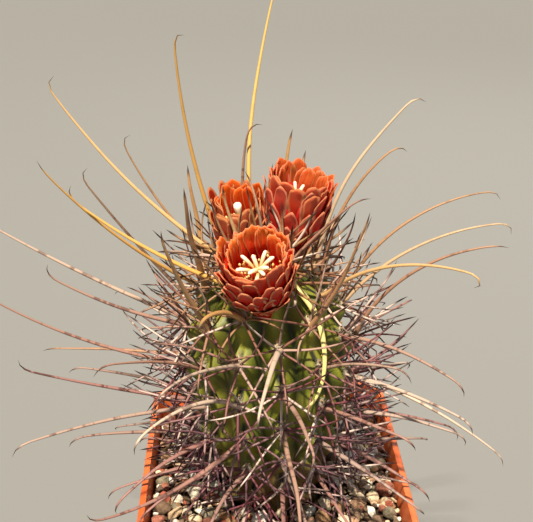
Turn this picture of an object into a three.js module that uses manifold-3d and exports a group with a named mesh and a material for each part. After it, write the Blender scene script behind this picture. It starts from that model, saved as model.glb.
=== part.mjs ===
// A potted cat-claw cactus: a ribbed, ovoid stem with long hooked spines and three brick-red
// blooms at its crown, standing in coarse mineral grit in a square plastic pot.
// Millimetres, +Z up, origin at the centre of the pot's underside, the plant's front facing -Y.
import * as THREE from "three";
import { mergeVertices } from "three/addons/utils/BufferGeometryUtils.js";
import Module from "manifold-3d";

const wasm = await Module();
wasm.setup();

// Driving dimensions.
const GAP = 0.3; // clearance left between pieces that touch

const POT = {
  height: 100,
  rimHalf: 50, // half of the 100 mm square rim
  rimCorner: 11,
  rimTopWidth: 2.5,
  rimRounding: 0.4,
  collarHeight: 13,
  collarStep: 1.6, // the body starts this far inside the collar
  baseHalf: 36,
  baseCorner: 9,
  wall: 1.4,
  floor: 2.0,
  footRecess: 1.5, // depth of the drainage channels under the floor
  channelWidth: 9,
  channelStart: 13,
  drainRadius: 3.6,
  drainAt: 24,
  cornerDrainRadius: 2.8,
  cornerDrainAt: 25,
};
const COLLAR_FOOT = POT.height - POT.collarHeight;
const POT_FLOOR = POT.floor + POT.footRecess;

const GRIT = {
  belowRim: 8, // the grit stops this far under the rim
  stonePitch: 7,
  stoneRise: [0.9, 2.6],
  jointDepth: 0.7,
  peakStray: 0.9, // how far a stone's peak may lie off the even net
  jointStray: 0.5,
};
const SOIL = POT.height - GRIT.belowRim;

const STEM = {
  height: 94, // above the grit
  buried: 10,
  girthAt: 54, // height of the widest section
  girth: 31,
  neck: 21.5, // radius where the stem meets the grit
  domePower: 2.6, // over 2 gives a flatter crown than an ellipse
  lean: -0.035, // sideways drift per mm of height
  ribs: 13,
  firstRib: 6, // heading of rib 0, degrees
  ribDepth: 5.4,
  furrowPower: 1.5,
  ribFade: 14, // arc length from the crown over which the ribs fade in
  tubercleRise: 3,
  areolePitch: 15.5,
  firstAreole: 5.5, // arc length from the crown to the first areole of rib 0
  lastAreole: 5, // least arc length between an areole and the grit
  ringStep: 5.5,
  crownArc: 4,
};

const SPINE = {
  padRadius: 1.75,
  padRise: 0.9, // the pad that an areole's spines share stands this far out of the rib
  padCore: 0.8,
  padSink: 0.35,
  padRoot: 3,
  centralRadius: 1.0,
  tipRadius: 0.42,
  hookLength: 9,
  apart: 1.5, // spines of different areoles keep this far from each other
  overGrit: 4,
  overRim: 1.5,
};

// Each bloom's foot, its heading and rise, its length, and its radius at the petal tips.
// belly is the belly's radius as a share of the tip's; bellyAt is its place along the length.
const BLOOMS = [
  { name: "front", at: [-4.2, -18.2, SOIL + 86.5], heading: -20, rise: 70, length: 25.5, tip: 10.8, belly: 0.92, bellyAt: 0.42, stigma: "open" },
  { name: "left", at: [-9, 3.4, SOIL + 89], heading: -112, rise: 81, length: 30, tip: 8, belly: 1, bellyAt: 0.5, stigma: "closed" },
  { name: "right", at: [4.2, 8, SOIL + 89], heading: 66, rise: 80, length: 33.5, tip: 10.4, belly: 0.9, bellyAt: 0.5, stigma: "half" },
];

const BLOOM = {
  footRadius: 4.4,
  sunk: 3,
  petals: 12,
  wall: 0.75,
  rows: [0.27, 0.46, 0.72], // tips of the rows of outer scales, as shares of the length
  rowNotch: [0.09, 0.1, 0.12],
  petalNotch: 0.12,
  petalFlare: 0.8,
  flare: 1.1, // the scales' tips stand this far off the cup
  elbow: 0.75, // least room between its foot and an areole
};

// Heights are shares of a bloom's length.
const STAMENS = { foot: 0.24, top: 0.58, hole: 1.5, anthers: 10, side: 0.8 };
const STIGMA = {
  open: { lobes: 10, reach: 5.2, waist: 1.5, rise: 2.2, neck: 0.64 },
  half: { lobes: 7, reach: 3.4, waist: 1.3, rise: 3.6, neck: 0.7 },
  closed: { lobes: 7, reach: 1.5, waist: 1.3, rise: 3.2, neck: 0.77 },
};

// Directions and repeatable chance.

const DEG = Math.PI / 180;

// Unit vector for a heading (0 = towards -Y, 90 = towards +X) and a rise above the horizon, in degrees.
function aim(heading, rise) {
  const h = heading * DEG;
  const r = rise * DEG;
  return new THREE.Vector3(Math.sin(h) * Math.cos(r), -Math.cos(h) * Math.cos(r), Math.sin(r));
}

// A repeatable value from 0 to 1 for three whole numbers.
function chance(a, b, c) {
  const v = Math.sin(a * 127.1 + b * 311.7 + c * 74.7) * 43758.5453;
  return v - Math.floor(v);
}

// The same, spread evenly from low to high.
function between(low, high, a, b, c) {
  return low + (high - low) * chance(a, b, c);
}

// Which draw of chance each varied size takes.
const DRAW = {
  heading: 1,
  rise: 2,
  roll: 3,
  reach: 4,
  bow: 5,
  hook: 6,
  clock: 10,
  spread: 20,
  radialReach: 40,
  stoneX: 60,
  stoneY: 61,
  stoneRise: 62,
  jointDepth: 63,
};

// Solids.

// A three.js geometry as a solid that can be cut and joined.
function solid(geometry, matrix) {
  const bare = new THREE.BufferGeometry();
  bare.setAttribute("position", geometry.getAttribute("position").clone());
  if (geometry.index) bare.setIndex(geometry.index);
  if (matrix) bare.applyMatrix4(matrix);
  const merged = mergeVertices(bare, 1e-4);
  return new wasm.Manifold(
    new wasm.Mesh({
      numProp: 3,
      vertProperties: new Float32Array(merged.attributes.position.array),
      triVerts: new Uint32Array(merged.index.array),
    }),
  );
}

function closedBody(points, faces) {
  const geometry = new THREE.BufferGeometry().setFromPoints(points);
  geometry.setIndex(faces.flat());
  return solid(geometry);
}

// The two faces between corner j of one ring and the next corner, and the same corners of another ring.
function band(a, b, j, k) {
  return [[a + j, a + k, b + k], [a + j, b + k, b + j]];
}

// A body through rings of equal count, with a flat fan on each end. A last ring of one point closes to
// a tip. Rings run anticlockwise seen from the last one.
function loft(rings) {
  const count = rings[0].length;
  const last = (rings.length - 1) * count;
  const pointed = rings[rings.length - 1].length === 1;
  const faces = [];
  for (let i = 0; i + 1 < rings.length; i++) {
    for (let j = 0; j < count; j++) {
      const k = (j + 1) % count;
      if (pointed && i + 2 === rings.length) faces.push([i * count + j, i * count + k, last]);
      else faces.push(...band(i * count, (i + 1) * count, j, k));
    }
  }
  for (let j = 1; j + 1 < count; j++) {
    faces.push([0, j + 1, j]);
    if (!pointed) faces.push([last, last + j, last + j + 1]);
  }
  return closedBody(rings.flat(), faces);
}

// A ring-shaped body: rings of equal count that follow its section round, the last back to the first.
function tube(rings) {
  const count = rings[0].length;
  const faces = [];
  for (let i = 0; i < rings.length; i++) {
    const next = (i + 1) % rings.length;
    for (let j = 0; j < count; j++) faces.push(...band(i * count, next * count, j, (j + 1) % count));
  }
  return closedBody(rings.flat(), faces);
}

// A net of faces as a closed body: a wall drops from its edge to a flat underside at height z.
function skirted(points, faces, z) {
  const edges = new Map();
  for (const face of faces) {
    face.forEach((p, i) => edges.set(`${p},${face[(i + 1) % 3]}`, [p, face[(i + 1) % 3]]));
  }
  const border = [...edges.values()].filter(([p, q]) => !edges.has(`${q},${p}`));
  const below = new Map();
  for (const [p] of border) below.set(p, points.push(points[p].clone().setZ(z)) - 1);
  const centre = points.push(new THREE.Vector3(0, 0, z)) - 1;
  for (const [p, q] of border) {
    faces.push([p, below.get(p), q], [q, below.get(p), below.get(q)]);
    faces.push([below.get(p), centre, below.get(q)]);
  }
  return closedBody(points, faces);
}

function union(solids) {
  return wasm.Manifold.union(solids);
}

// The largest body of a solid, so that a scrap left by a cut is dropped.
function largest(body) {
  return body.decompose().sort((a, b) => b.volume() - a.volume())[0];
}

// A level ring of points round the Z axis, each with its own radius and height.
function around(count, place) {
  return Array.from({ length: count }, (_, i) => {
    const angle = (2 * Math.PI * i) / count;
    const { r, z } = place(i);
    return new THREE.Vector3(r * Math.cos(angle), r * Math.sin(angle), z);
  });
}

function meshOf(name, body, finish) {
  const m = body.getMesh();
  const positions = new Float32Array(m.numVert * 3);
  for (let i = 0; i < m.numVert; i++) {
    positions.set(m.vertProperties.subarray(i * m.numProp, i * m.numProp + 3), i * 3);
  }
  const geometry = new THREE.BufferGeometry();
  geometry.setAttribute("position", new THREE.BufferAttribute(positions, 3));
  geometry.setIndex(new THREE.BufferAttribute(m.triVerts, 1));
  geometry.computeVertexNormals();
  const mesh = new THREE.Mesh(geometry, finish);
  mesh.name = name;
  return mesh;
}

// The pot: a square cup with rounded corners, a collar under its rim and a channelled foot.

// One ring of a rounded square at height z, anticlockwise from above.
function roundedSquare(half, corner, z) {
  const perCorner = 4;
  const ring = [];
  for (let q = 0; q < 4; q++) {
    const cx = (q === 0 || q === 3 ? 1 : -1) * (half - corner);
    const cy = (q < 2 ? 1 : -1) * (half - corner);
    for (let i = 0; i < perCorner; i++) {
      const a = (q + i / (perCorner - 1)) * 90 * DEG;
      ring.push(new THREE.Vector3(cx + corner * Math.cos(a), cy + corner * Math.sin(a), z));
    }
  }
  return ring;
}

// Half width of the pot's outer body, below the collar.
function potHalf(z) {
  const top = POT.rimHalf - POT.collarStep;
  return POT.baseHalf + (top - POT.baseHalf) * Math.min(z / COLLAR_FOOT, 1);
}

function potCorner(z) {
  return POT.baseCorner + ((POT.rimCorner - POT.baseCorner) * z) / POT.height;
}

// A ring on the pot's inner wall, set in by a clearance.
function potInside(z, clearance = 0) {
  const half = potHalf(z) - POT.wall - clearance;
  return roundedSquare(half, potCorner(z) - POT.wall - clearance, z);
}

function box(x, y, z, at) {
  return solid(new THREE.BoxGeometry(x, y, z), new THREE.Matrix4().makeTranslation(...at));
}

function drill(radius, x, y) {
  const g = new THREE.CylinderGeometry(radius, radius, 4 * POT_FLOOR, 8);
  g.rotateX(Math.PI / 2);
  return solid(g, new THREE.Matrix4().makeTranslation(x, y, 0));
}

function pot() {
  const { height, rimHalf, rimCorner, rimTopWidth, rimRounding } = POT;
  const cup = loft([
    roundedSquare(potHalf(0) - 1, potCorner(0) - 1, 0),
    roundedSquare(potHalf(1), potCorner(1), 1),
    roundedSquare(potHalf(COLLAR_FOOT), potCorner(COLLAR_FOOT), COLLAR_FOOT - 1),
    roundedSquare(rimHalf - rimRounding, rimCorner, COLLAR_FOOT),
    roundedSquare(rimHalf, rimCorner, height - 1),
    roundedSquare(rimHalf - rimRounding, rimCorner - rimRounding, height),
    roundedSquare(rimHalf - rimTopWidth, rimCorner - rimTopWidth, height),
    potInside(COLLAR_FOOT - 1),
    potInside(POT_FLOOR),
  ]);
  const reach = POT.baseHalf - POT.channelStart + 2;
  const middle = POT.channelStart + reach / 2;
  const cuts = [];
  for (const [x, y] of [[1, 0], [-1, 0], [0, 1], [0, -1]]) {
    const [sizeX, sizeY] = x ? [reach, POT.channelWidth] : [POT.channelWidth, reach];
    cuts.push(box(sizeX, sizeY, 2 * POT.footRecess, [x * middle, y * middle, 0]));
    cuts.push(drill(POT.drainRadius, x * POT.drainAt, y * POT.drainAt));
  }
  for (const [x, y] of [[1, 1], [-1, 1], [-1, -1], [1, -1]]) {
    cuts.push(drill(POT.cornerDrainRadius, x * POT.cornerDrainAt, y * POT.cornerDrainAt));
  }
  return cup.subtract(union(cuts));
}

// The stem: an ovoid whose ribs are raised into a tubercle at each areole.

// Crest radius at a height above the grit.
function girth(z) {
  if (z < STEM.girthAt) {
    const t = Math.max(z, -STEM.buried) / STEM.girthAt;
    return STEM.neck + (STEM.girth - STEM.neck) * Math.sin((Math.PI / 2) * t);
  }
  const q = Math.min((z - STEM.girthAt) / (STEM.height - STEM.girthAt), 1);
  return STEM.girth * Math.sqrt(1 - q ** STEM.domePower);
}

// Heights and arc lengths from the crown down to the grit, in small steps.
const MERIDIAN = (() => {
  const rows = [{ z: STEM.height, s: 0 }];
  const steps = 400;
  for (let i = 1; i <= steps; i++) {
    const z = STEM.height * (1 - (i / steps) ** 2);
    const last = rows[rows.length - 1];
    rows.push({ z, s: last.s + Math.hypot(girth(z) - girth(last.z), z - last.z) });
  }
  return rows;
})();
const STEM_ARC = MERIDIAN[MERIDIAN.length - 1].s;

// Height above the grit at an arc length from the crown.
function heightAt(s) {
  if (s <= 0) return STEM.height;
  if (s >= STEM_ARC) return STEM_ARC - s;
  const i = MERIDIAN.findIndex((row) => row.s >= s);
  const [a, b] = [MERIDIAN[i - 1], MERIDIAN[i]];
  return a.z + ((b.z - a.z) * (s - a.s)) / (b.s - a.s);
}

// Neighbouring ribs start at staggered heights, in the 5-8-13 order of a real crown.
function stagger(rib) {
  return ((8 * (rib + STEM.ribs)) % STEM.ribs) / STEM.ribs;
}

function areoleArc(rib, row) {
  return STEM.firstAreole + (row + stagger(rib)) * STEM.areolePitch;
}

function ribHeading(rib) {
  return STEM.firstRib + (rib * 360) / STEM.ribs;
}

// How far the stem stands out at a heading and an arc length: crest on the ribs, furrow between.
function stemRadius(heading, s, z) {
  const turns = ((heading - STEM.firstRib) / 360) * STEM.ribs;
  const rib = Math.round(turns);
  const across = Math.abs(turns - rib) * 2; // 0 on the crest, 1 in the furrow
  const phase = (s - STEM.firstAreole) / STEM.areolePitch - stagger(rib);
  const swell = 0.5 + 0.5 * Math.cos(2 * Math.PI * (phase - 0.12)); // fullest just under the areole
  const crest = STEM.tubercleRise * (swell - 1) * (1 - across);
  const furrow = STEM.ribDepth * across ** STEM.furrowPower;
  const full = girth(z);
  return Math.max(full - Math.min(1, s / STEM.ribFade) * (furrow - crest), 0.35 * full);
}

function stemPoint(heading, s) {
  const z = heightAt(s);
  const r = stemRadius(heading, s, z);
  const h = heading * DEG;
  return new THREE.Vector3(STEM.lean * z + r * Math.sin(h), -r * Math.cos(h), SOIL + z);
}

function stemBody() {
  const columns = STEM.ribs * 4;
  const arcs = [STEM_ARC + STEM.buried];
  for (let s = STEM_ARC; s > STEM.crownArc; s -= STEM.ringStep) arcs.push(s);
  const column = (s, i) => stemPoint(STEM.firstRib + (i * 360) / columns, s);
  const rings = arcs.map((s) => Array.from({ length: columns }, (_, i) => column(s, i)));
  rings.push([new THREE.Vector3(STEM.lean * STEM.height, 0, SOIL + STEM.height - 0.6)]);
  return loft(rings);
}

// An areole's place, with the directions out of the stem, up the rib and across it.
function areole(rib, row) {
  const s = areoleArc(rib, row);
  const heading = ribHeading(rib);
  const above = heightAt(s - 1);
  const below = heightAt(s + 1);
  const slope = new THREE.Vector2(girth(above) - girth(below), above - below).normalize();
  const outward = aim(heading, 0);
  const up = outward.multiplyScalar(slope.x).add(new THREE.Vector3(0, 0, slope.y));
  const across = aim(heading + 90, 0);
  const out = new THREE.Vector3().crossVectors(across, up);
  return { rib, row, heading, at: stemPoint(heading, s), up, across, out };
}

// An areole stands clear of every bloom's foot, or the bloom has taken its place.
function isFree(a) {
  const room = BLOOM.footRadius + SPINE.padRadius + BLOOM.elbow;
  return BLOOMS.every((bloom) => a.at.distanceTo(new THREE.Vector3(...bloom.at)) > room);
}

function areoles() {
  const found = [];
  for (let rib = 0; rib < STEM.ribs; rib++) {
    for (let row = 0; areoleArc(rib, row) < STEM_ARC - STEM.lastAreole; row++) found.push(areole(rib, row));
  }
  return found.filter(isFree);
}

// A point on an areole's own clock face, at a radius from its middle and a lift out of the rib.
function onClock(a, clock, radius, lift) {
  const point = a.at.clone().addScaledVector(a.out, lift);
  point.addScaledVector(a.up, radius * Math.cos(clock * DEG));
  return point.addScaledVector(a.across, radius * Math.sin(clock * DEG));
}

// Room that the blooms take.

// Outline of a bloom: its radius at a share of its length, from foot to petal tips.
function bloomRadius(bloom, share) {
  const belly = bloom.belly * bloom.tip;
  if (share < 0) return BLOOM.footRadius;
  if (share < bloom.bellyAt) {
    return BLOOM.footRadius + (belly - BLOOM.footRadius) * (share / bloom.bellyAt) ** 1.1;
  }
  return belly + (bloom.tip - belly) * ((share - bloom.bellyAt) / (1 - bloom.bellyAt)) ** 1.5;
}

function bloomMatrix(bloom) {
  const axis = aim(bloom.heading, bloom.rise);
  const turn = new THREE.Quaternion().setFromUnitVectors(new THREE.Vector3(0, 0, 1), axis);
  return new THREE.Matrix4().compose(new THREE.Vector3(...bloom.at), turn, new THREE.Vector3(1, 1, 1));
}

// The outward shove that a point of a spine needs to clear the blooms, or null where it is clear.
function bloomShove(point, clearance) {
  for (const bloom of BLOOMS) {
    const axis = aim(bloom.heading, bloom.rise);
    const from = point.clone().sub(new THREE.Vector3(...bloom.at));
    const along = from.dot(axis);
    if (along < -2 || along > bloom.length + clearance) continue;
    const side = from.addScaledVector(axis, -along);
    const room = bloomRadius(bloom, Math.min(along / bloom.length, 1)) + BLOOM.flare + clearance;
    if (side.length() < room) return side.normalize();
  }
  return null;
}

// Spines.

// Lowest height that a spine may have over the grit and the rim.
function floorAt(point) {
  const reach = Math.max(Math.abs(point.x), Math.abs(point.y));
  if (reach < POT.rimHalf - 6) return SOIL + SPINE.overGrit;
  if (reach < POT.rimHalf + 2.5) return POT.height + SPINE.overRim;
  return 0;
}

// Points of a planar curve from a root. The straight line to where its hook begins lies along direction.
// It bows by an angle over its length and turns over by another in its hook. roll picks the side that it
// bends to, from 0 = down, by the left hand round its direction.
function spinePath(spine, shares) {
  const { root, direction, roll, reach, bow, hook, hookLength } = spine;
  const down = new THREE.Vector3(0, 0, -1).addScaledVector(direction, direction.z).normalize();
  const side = new THREE.Vector3().crossVectors(direction, down);
  const bend = down.multiplyScalar(Math.cos(roll * DEG)).addScaledVector(side, Math.sin(roll * DEG));
  const length = reach + hookLength;
  const steps = 80;
  const hookFrom = reach / length;
  const flat = [new THREE.Vector2()];
  for (let i = 0; i < steps; i++) {
    const t = (i + 0.5) / steps;
    const h = Math.max(0, (t - hookFrom) / (1 - hookFrom));
    const angle = (bow * t + hook * h * h) * DEG;
    const step = new THREE.Vector2(Math.cos(angle), Math.sin(angle)).multiplyScalar(length / steps);
    flat.push(flat[i].clone().add(step));
  }
  const chord = flat[Math.round(hookFrom * steps)].angle();
  const turned = flat.map((point) => point.rotateAround(new THREE.Vector2(), -chord));
  return shares.map((share) => {
    const at = Math.min(share * steps, steps - 1e-6);
    const i = Math.floor(at);
    const point = turned[i].clone().lerp(turned[i + 1], at - i);
    return root.clone().addScaledVector(direction, point.x).addScaledVector(bend, point.y);
  });
}

// Shares of a spine's length at which its way is tested, past its foot.
const PROBES = Array.from({ length: 19 }, (_, i) => 0.1 + i / 20);

// Turns a spine until it is clear of the blooms, the grit and the rim. Returns null if it can't be.
function steerClear(spine, clearance) {
  const direction = spine.direction.clone();
  for (let attempt = 0; attempt < 40; attempt++) {
    const trial = { ...spine, direction: direction.clone() };
    let push = null;
    for (const point of spinePath(trial, PROBES)) {
      push = point.z < floorAt(point) ? new THREE.Vector3(0, 0, 1) : bloomShove(point, clearance);
      if (push) break;
    }
    if (!push) return trial;
    direction.addScaledVector(push, 0.06).normalize();
  }
  return null;
}

// Offsets from a cubic cell to itself and to the cells round it.
const NEIGHBOURS = [-1, 0, 1].flatMap((x) => [-1, 0, 1].flatMap((y) => [-1, 0, 1].map((z) => [x, y, z])));

// The room that the spines take, as points a millimetre apart along them, sorted into cubic cells.
class SpineRoom {
  constructor() {
    this.cell = 2 * SPINE.apart;
    this.cells = new Map();
  }

  keyOf(point, [dx, dy, dz] = [0, 0, 0]) {
    const [x, y, z] = point.toArray().map((v) => Math.floor(v / this.cell));
    return `${x + dx},${y + dy},${z + dz}`;
  }

  pointsAlong(spine) {
    const count = Math.ceil(spine.reach + spine.hookLength);
    return spinePath(spine, Array.from({ length: count }, (_, i) => (i + 1) / count)).slice(2);
  }

  claim(spine, owner) {
    for (const point of this.pointsAlong(spine)) {
      const key = this.keyOf(point);
      if (!this.cells.has(key)) this.cells.set(key, []);
      this.cells.get(key).push({ point, owner });
    }
  }

  isTaken(spine, owner) {
    return this.pointsAlong(spine).some((point) => {
      const near = NEIGHBOURS.flatMap((offset) => this.cells.get(this.keyOf(point, offset)) ?? []);
      return near.some((other) => other.owner !== owner && other.point.distanceTo(point) < SPINE.apart);
    });
  }
}

// The long central spines that stand clear of the tangle, one to an areole.
// heading and rise aim the spine, bow bends it, roll says which way, and hook turns its end over.
const LONG_SPINES = [
  { rib: 9, row: 0, heading: -100, rise: 45, reach: 80, roll: 180, bow: 25, hook: 110 },
  { rib: 11, row: 0, heading: -95, rise: 30, reach: 55, roll: 180, bow: 20, hook: 90 },
  { rib: 9, row: 1, heading: -70, rise: 45, reach: 65, roll: 180, bow: 20, hook: 15 },
  { rib: 8, row: 0, heading: -125, rise: 75, reach: 75, roll: 180, bow: 25, hook: 120 },
  { rib: 7, row: 0, heading: 170, rise: 60, reach: 90, roll: -80, bow: 25, hook: 60 },
  { rib: 7, row: 1, heading: 150, rise: 85, reach: 45, roll: -60, bow: 15, hook: 110 },
  { rib: 3, row: 0, heading: 105, rise: 70, reach: 65, roll: 0, bow: 45, hook: 95 },
  { rib: 4, row: 1, heading: 100, rise: 65, reach: 50, roll: 0, bow: 60, hook: 90 },
  { rib: 4, row: 2, heading: 95, rise: 40, reach: 70, roll: 0, bow: 75, hook: 75 },
  { rib: 3, row: 1, heading: 90, rise: 30, reach: 60, roll: 0, bow: 55, hook: 110 },
  { rib: 3, row: 2, heading: 75, rise: 45, reach: 60, roll: 0, bow: 65, hook: 20 },
  { rib: 2, row: 1, heading: 55, rise: 25, reach: 55, roll: 0, bow: 60, hook: 180 },
  { rib: 9, row: 2, heading: -100, rise: 25, reach: 75, roll: 180, bow: 10, hook: 70 },
  { rib: 10, row: 2, heading: -85, rise: 25, reach: 45, roll: 180, bow: 20, hook: 85 },
  { rib: 10, row: 3, heading: -85, rise: 25, reach: 65, roll: 180, bow: 25, hook: 80 },
  { rib: 9, row: 3, heading: -90, rise: 5, reach: 45, roll: 0, bow: 5, hook: 30 },
  { rib: 9, row: 4, heading: -90, rise: 15, reach: 40, roll: 0, bow: 10, hook: 70 },
  { rib: 10, row: 4, heading: -80, rise: 20, reach: 55, roll: 180, bow: 10, hook: 75 },
  { rib: 11, row: 3, heading: -60, rise: 10, reach: 60, roll: 0, bow: 20, hook: 75 },
  { rib: 10, row: 5, heading: -75, rise: 10, reach: 40, roll: 0, bow: 15, hook: 75 },
  { rib: 12, row: 3, heading: -40, rise: 20, reach: 45, roll: 0, bow: 65, hook: 90 },
  { rib: 12, row: 4, heading: -50, rise: 0, reach: 55, roll: 180, bow: 40, hook: 60 },
  { rib: 2, row: 2, heading: 50, rise: 0, reach: 40, roll: 0, bow: 35, hook: 80 },
  { rib: 3, row: 3, heading: 60, rise: -15, reach: 55, roll: 0, bow: 30, hook: 60 },
  { rib: 2, row: 5, heading: 55, rise: -10, reach: 30, roll: 0, bow: 15, hook: 60 },
  { rib: 0, row: 2, heading: -10, rise: 10, reach: 40, roll: 0, bow: 30, hook: 90 },
  { rib: 0, row: 4, heading: 5, rise: -5, reach: 45, roll: 0, bow: 20, hook: 60 },
  { rib: 12, row: 1, heading: -35, rise: 30, reach: 20, roll: 0, bow: 45, hook: 80 },
  { rib: 1, row: 0, heading: 20, rise: -50, reach: 40, roll: -60, bow: 90, hook: 50 },
  { rib: 0, row: 0, heading: -115, rise: 80, reach: 25, roll: 0, bow: 10, hook: 20 },
  { rib: 12, row: 0, heading: -105, rise: 70, reach: 25, roll: 180, bow: 10, hook: 15 },
  { rib: 2, row: 0, heading: 75, rise: 50, reach: 30, roll: 0, bow: 15, hook: 40 },
  { rib: 6, row: 0, heading: 145, rise: 70, reach: 35, roll: 0, bow: 5, hook: 10 },
  { rib: 5, row: 1, heading: 165, rise: 70, reach: 30, roll: 0, bow: 10, hook: 15 },
  { rib: 8, row: 1, heading: -150, rise: 70, reach: 35, roll: 180, bow: 5, hook: 10 },
  { rib: 10, row: 1, heading: -25, rise: 70, reach: 35, roll: 180, bow: 10, hook: 20 },
  { rib: 1, row: 1, heading: 55, rise: 65, reach: 40, roll: 180, bow: 15, hook: 15 },
  { rib: 11, row: 1, heading: -50, rise: 65, reach: 35, roll: 180, bow: 10, hook: 25 },
  { rib: 8, row: 2, heading: -100, rise: 50, reach: 65, roll: 180, bow: 10, hook: 110 },
  { rib: 7, row: 2, heading: -105, rise: 50, reach: 65, roll: 180, bow: 30, hook: 110 },
];

// The central spine of any other areole: high ones rise, low ones are shorter and point down.
// nudge turns it aside by degrees.
function ruleCentral({ rib, row, heading }, nudge) {
  const low = Math.min(row / 5, 1);
  return {
    heading: heading + between(-16, 16, rib, row, DRAW.heading) + nudge,
    rise: 46 - 58 * low + between(-9, 9, rib, row, DRAW.rise) + Math.abs(nudge) / 2,
    roll: between(-45, 45, rib, row, DRAW.roll),
    reach: between(40, 56, rib, row, DRAW.reach) - 20 * low,
    bow: between(15, 40, rib, row, DRAW.bow),
    hook: between(70, 115, rib, row, DRAW.hook),
  };
}

function centralSpine(a, { heading, rise, roll, reach, bow, hook }) {
  const root = onClock(a, 0, 0, SPINE.padRise);
  return { root, direction: aim(heading, rise), roll, reach, bow, hook, hookLength: SPINE.hookLength };
}

// Radial spines by their place on the areole's clock (0 = up the rib), their spread out of the rib and
// their length. The five upper ones are the longer.
const RADIALS = [
  { clock: 8, spread: 42, length: 25 },
  { clock: 48, spread: 34, length: 29 },
  { clock: 84, spread: 27, length: 27 },
  { clock: 132, spread: 25, length: 24 },
  { clock: 178, spread: 30, length: 22 },
  { clock: 228, spread: 25, length: 24 },
  { clock: 276, spread: 27, length: 27 },
  { clock: 312, spread: 34, length: 29 },
];

function radialSpine(a, index, nudge) {
  const kind = RADIALS[index];
  const { rib, row } = a;
  const clock = kind.clock + between(-8, 8, rib, row, DRAW.clock + index) + nudge;
  const spread = kind.spread + between(-8, 8, rib, row, DRAW.spread + index) + Math.abs(nudge) / 2;
  const direction = onClock(a, clock, Math.cos(spread * DEG), Math.sin(spread * DEG)).sub(a.at);
  const reach = kind.length * between(0.8, 1.15, rib, row, DRAW.radialReach + index);
  const root = onClock(a, kind.clock, SPINE.padRadius * 0.7, 0.3);
  return { root, direction, roll: 0, reach, bow: 0, hook: 0, hookLength: 0.01 };
}

const NUDGES = [0, 7, -7, 14, -14];

// The spines of every areole: the long ones first, then the other centrals, then the radials.
// One that finds no clear way is left out.
function growSpines() {
  const room = new SpineRoom();
  const grown = areoles().map((a) => ({ a, owner: a.rib * 100 + a.row, middle: null, radials: [] }));
  for (const plan of grown) {
    const own = LONG_SPINES.find((s) => s.rib === plan.a.rib && s.row === plan.a.row);
    plan.middle = own ? steerClear(centralSpine(plan.a, own), 1) : null;
    if (plan.middle) room.claim(plan.middle, plan.owner);
  }
  const settle = (owner, options) => {
    const steered = options.map((spine) => steerClear(spine, 1.3)).filter((spine) => spine);
    const found = steered.find((spine) => !room.isTaken(spine, owner));
    if (found) room.claim(found, owner);
    return found;
  };
  for (const plan of grown.filter((p) => !p.middle)) {
    const options = NUDGES.map((nudge) => centralSpine(plan.a, ruleCentral(plan.a, nudge)));
    plan.middle = settle(plan.owner, options);
  }
  for (const plan of grown) {
    const options = (index) => NUDGES.map((nudge) => radialSpine(plan.a, index, nudge));
    plan.radials = RADIALS.map((_, index) => settle(plan.owner, options(index)));
  }
  return grown;
}

const THIRDS = [0, 120, 240];
const CENTRAL_SHARES = [0.3, 0.6, 0.82, 0.93, 1];

// Adds the central spine to an areole's body: three-sided rings from the pad's core to the tip.
function drawCentral(points, faces, a, spine) {
  const path = spinePath(spine, [0, ...CENTRAL_SHARES]);
  let ring = [0, 1, 2];
  let side = a.up.clone();
  CENTRAL_SHARES.forEach((share, i) => {
    const at = path[i + 1];
    const ahead = (path[i + 2] ?? at).clone().sub(path[i]).normalize();
    side = side.clone().addScaledVector(ahead, -side.dot(ahead)).normalize();
    const other = new THREE.Vector3().crossVectors(side, ahead);
    const r = SPINE.centralRadius + (SPINE.tipRadius - SPINE.centralRadius) * share;
    const corner = (clock) => {
      const point = at.clone().addScaledVector(side, r * Math.cos(clock * DEG));
      return point.addScaledVector(other, r * Math.sin(clock * DEG));
    };
    const next = share === 1 ? [at] : THIRDS.map(corner);
    const start = points.length;
    points.push(...next);
    for (let k = 0; k < 3; k++) {
      const l = (k + 1) % 3;
      if (share === 1) faces.push([ring[l], ring[k], start]);
      else faces.push([ring[l], ring[k], start + k], [ring[l], start + k, start + l]);
    }
    ring = [start, start + 1, start + 2];
  });
}

// An areole as one closed body: a pad rooted in the rib, whose faces are drawn out into the spines.
// Its corners are three round the central spine, one between each two radials, and the root.
function areoleBody({ a, middle, radials }) {
  const points = THIRDS.map((clock) => onClock(a, clock, SPINE.padCore, SPINE.padRise));
  const count = RADIALS.length;
  RADIALS.forEach(({ clock }, i) => {
    const next = i + 1 < count ? RADIALS[i + 1].clock : RADIALS[0].clock + 360;
    points.push(onClock(a, (clock + next) / 2, SPINE.padRadius, -SPINE.padSink));
  });
  const root = points.push(onClock(a, 0, 0, -SPINE.padRoot)) - 1;
  const faces = [];
  // The outer corner after radial i is 3 + i. Its nearest inner corner goes by thirds of the clock.
  const inner = (i) => Math.round(RADIALS[i % count].clock / 120) % 3;
  radials.forEach((spine, i) => {
    const before = 3 + ((i + count - 1) % count);
    const after = 3 + i;
    const corners = [before, inner(i), after];
    const tip = spine ? points.push(spinePath(spine, [1])[0]) - 1 : null;
    if (spine) corners.forEach((corner, k) => faces.push([corner, corners[(k + 1) % 3], tip]));
    else faces.push(corners);
    if (inner(i) !== inner(i + 1)) faces.push([after, inner(i), inner(i + 1)]);
    faces.push([before, after, root]);
  });
  if (middle) drawCentral(points, faces, a, middle);
  else faces.push([0, 2, 1]);
  return closedBody(points, faces);
}

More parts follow.
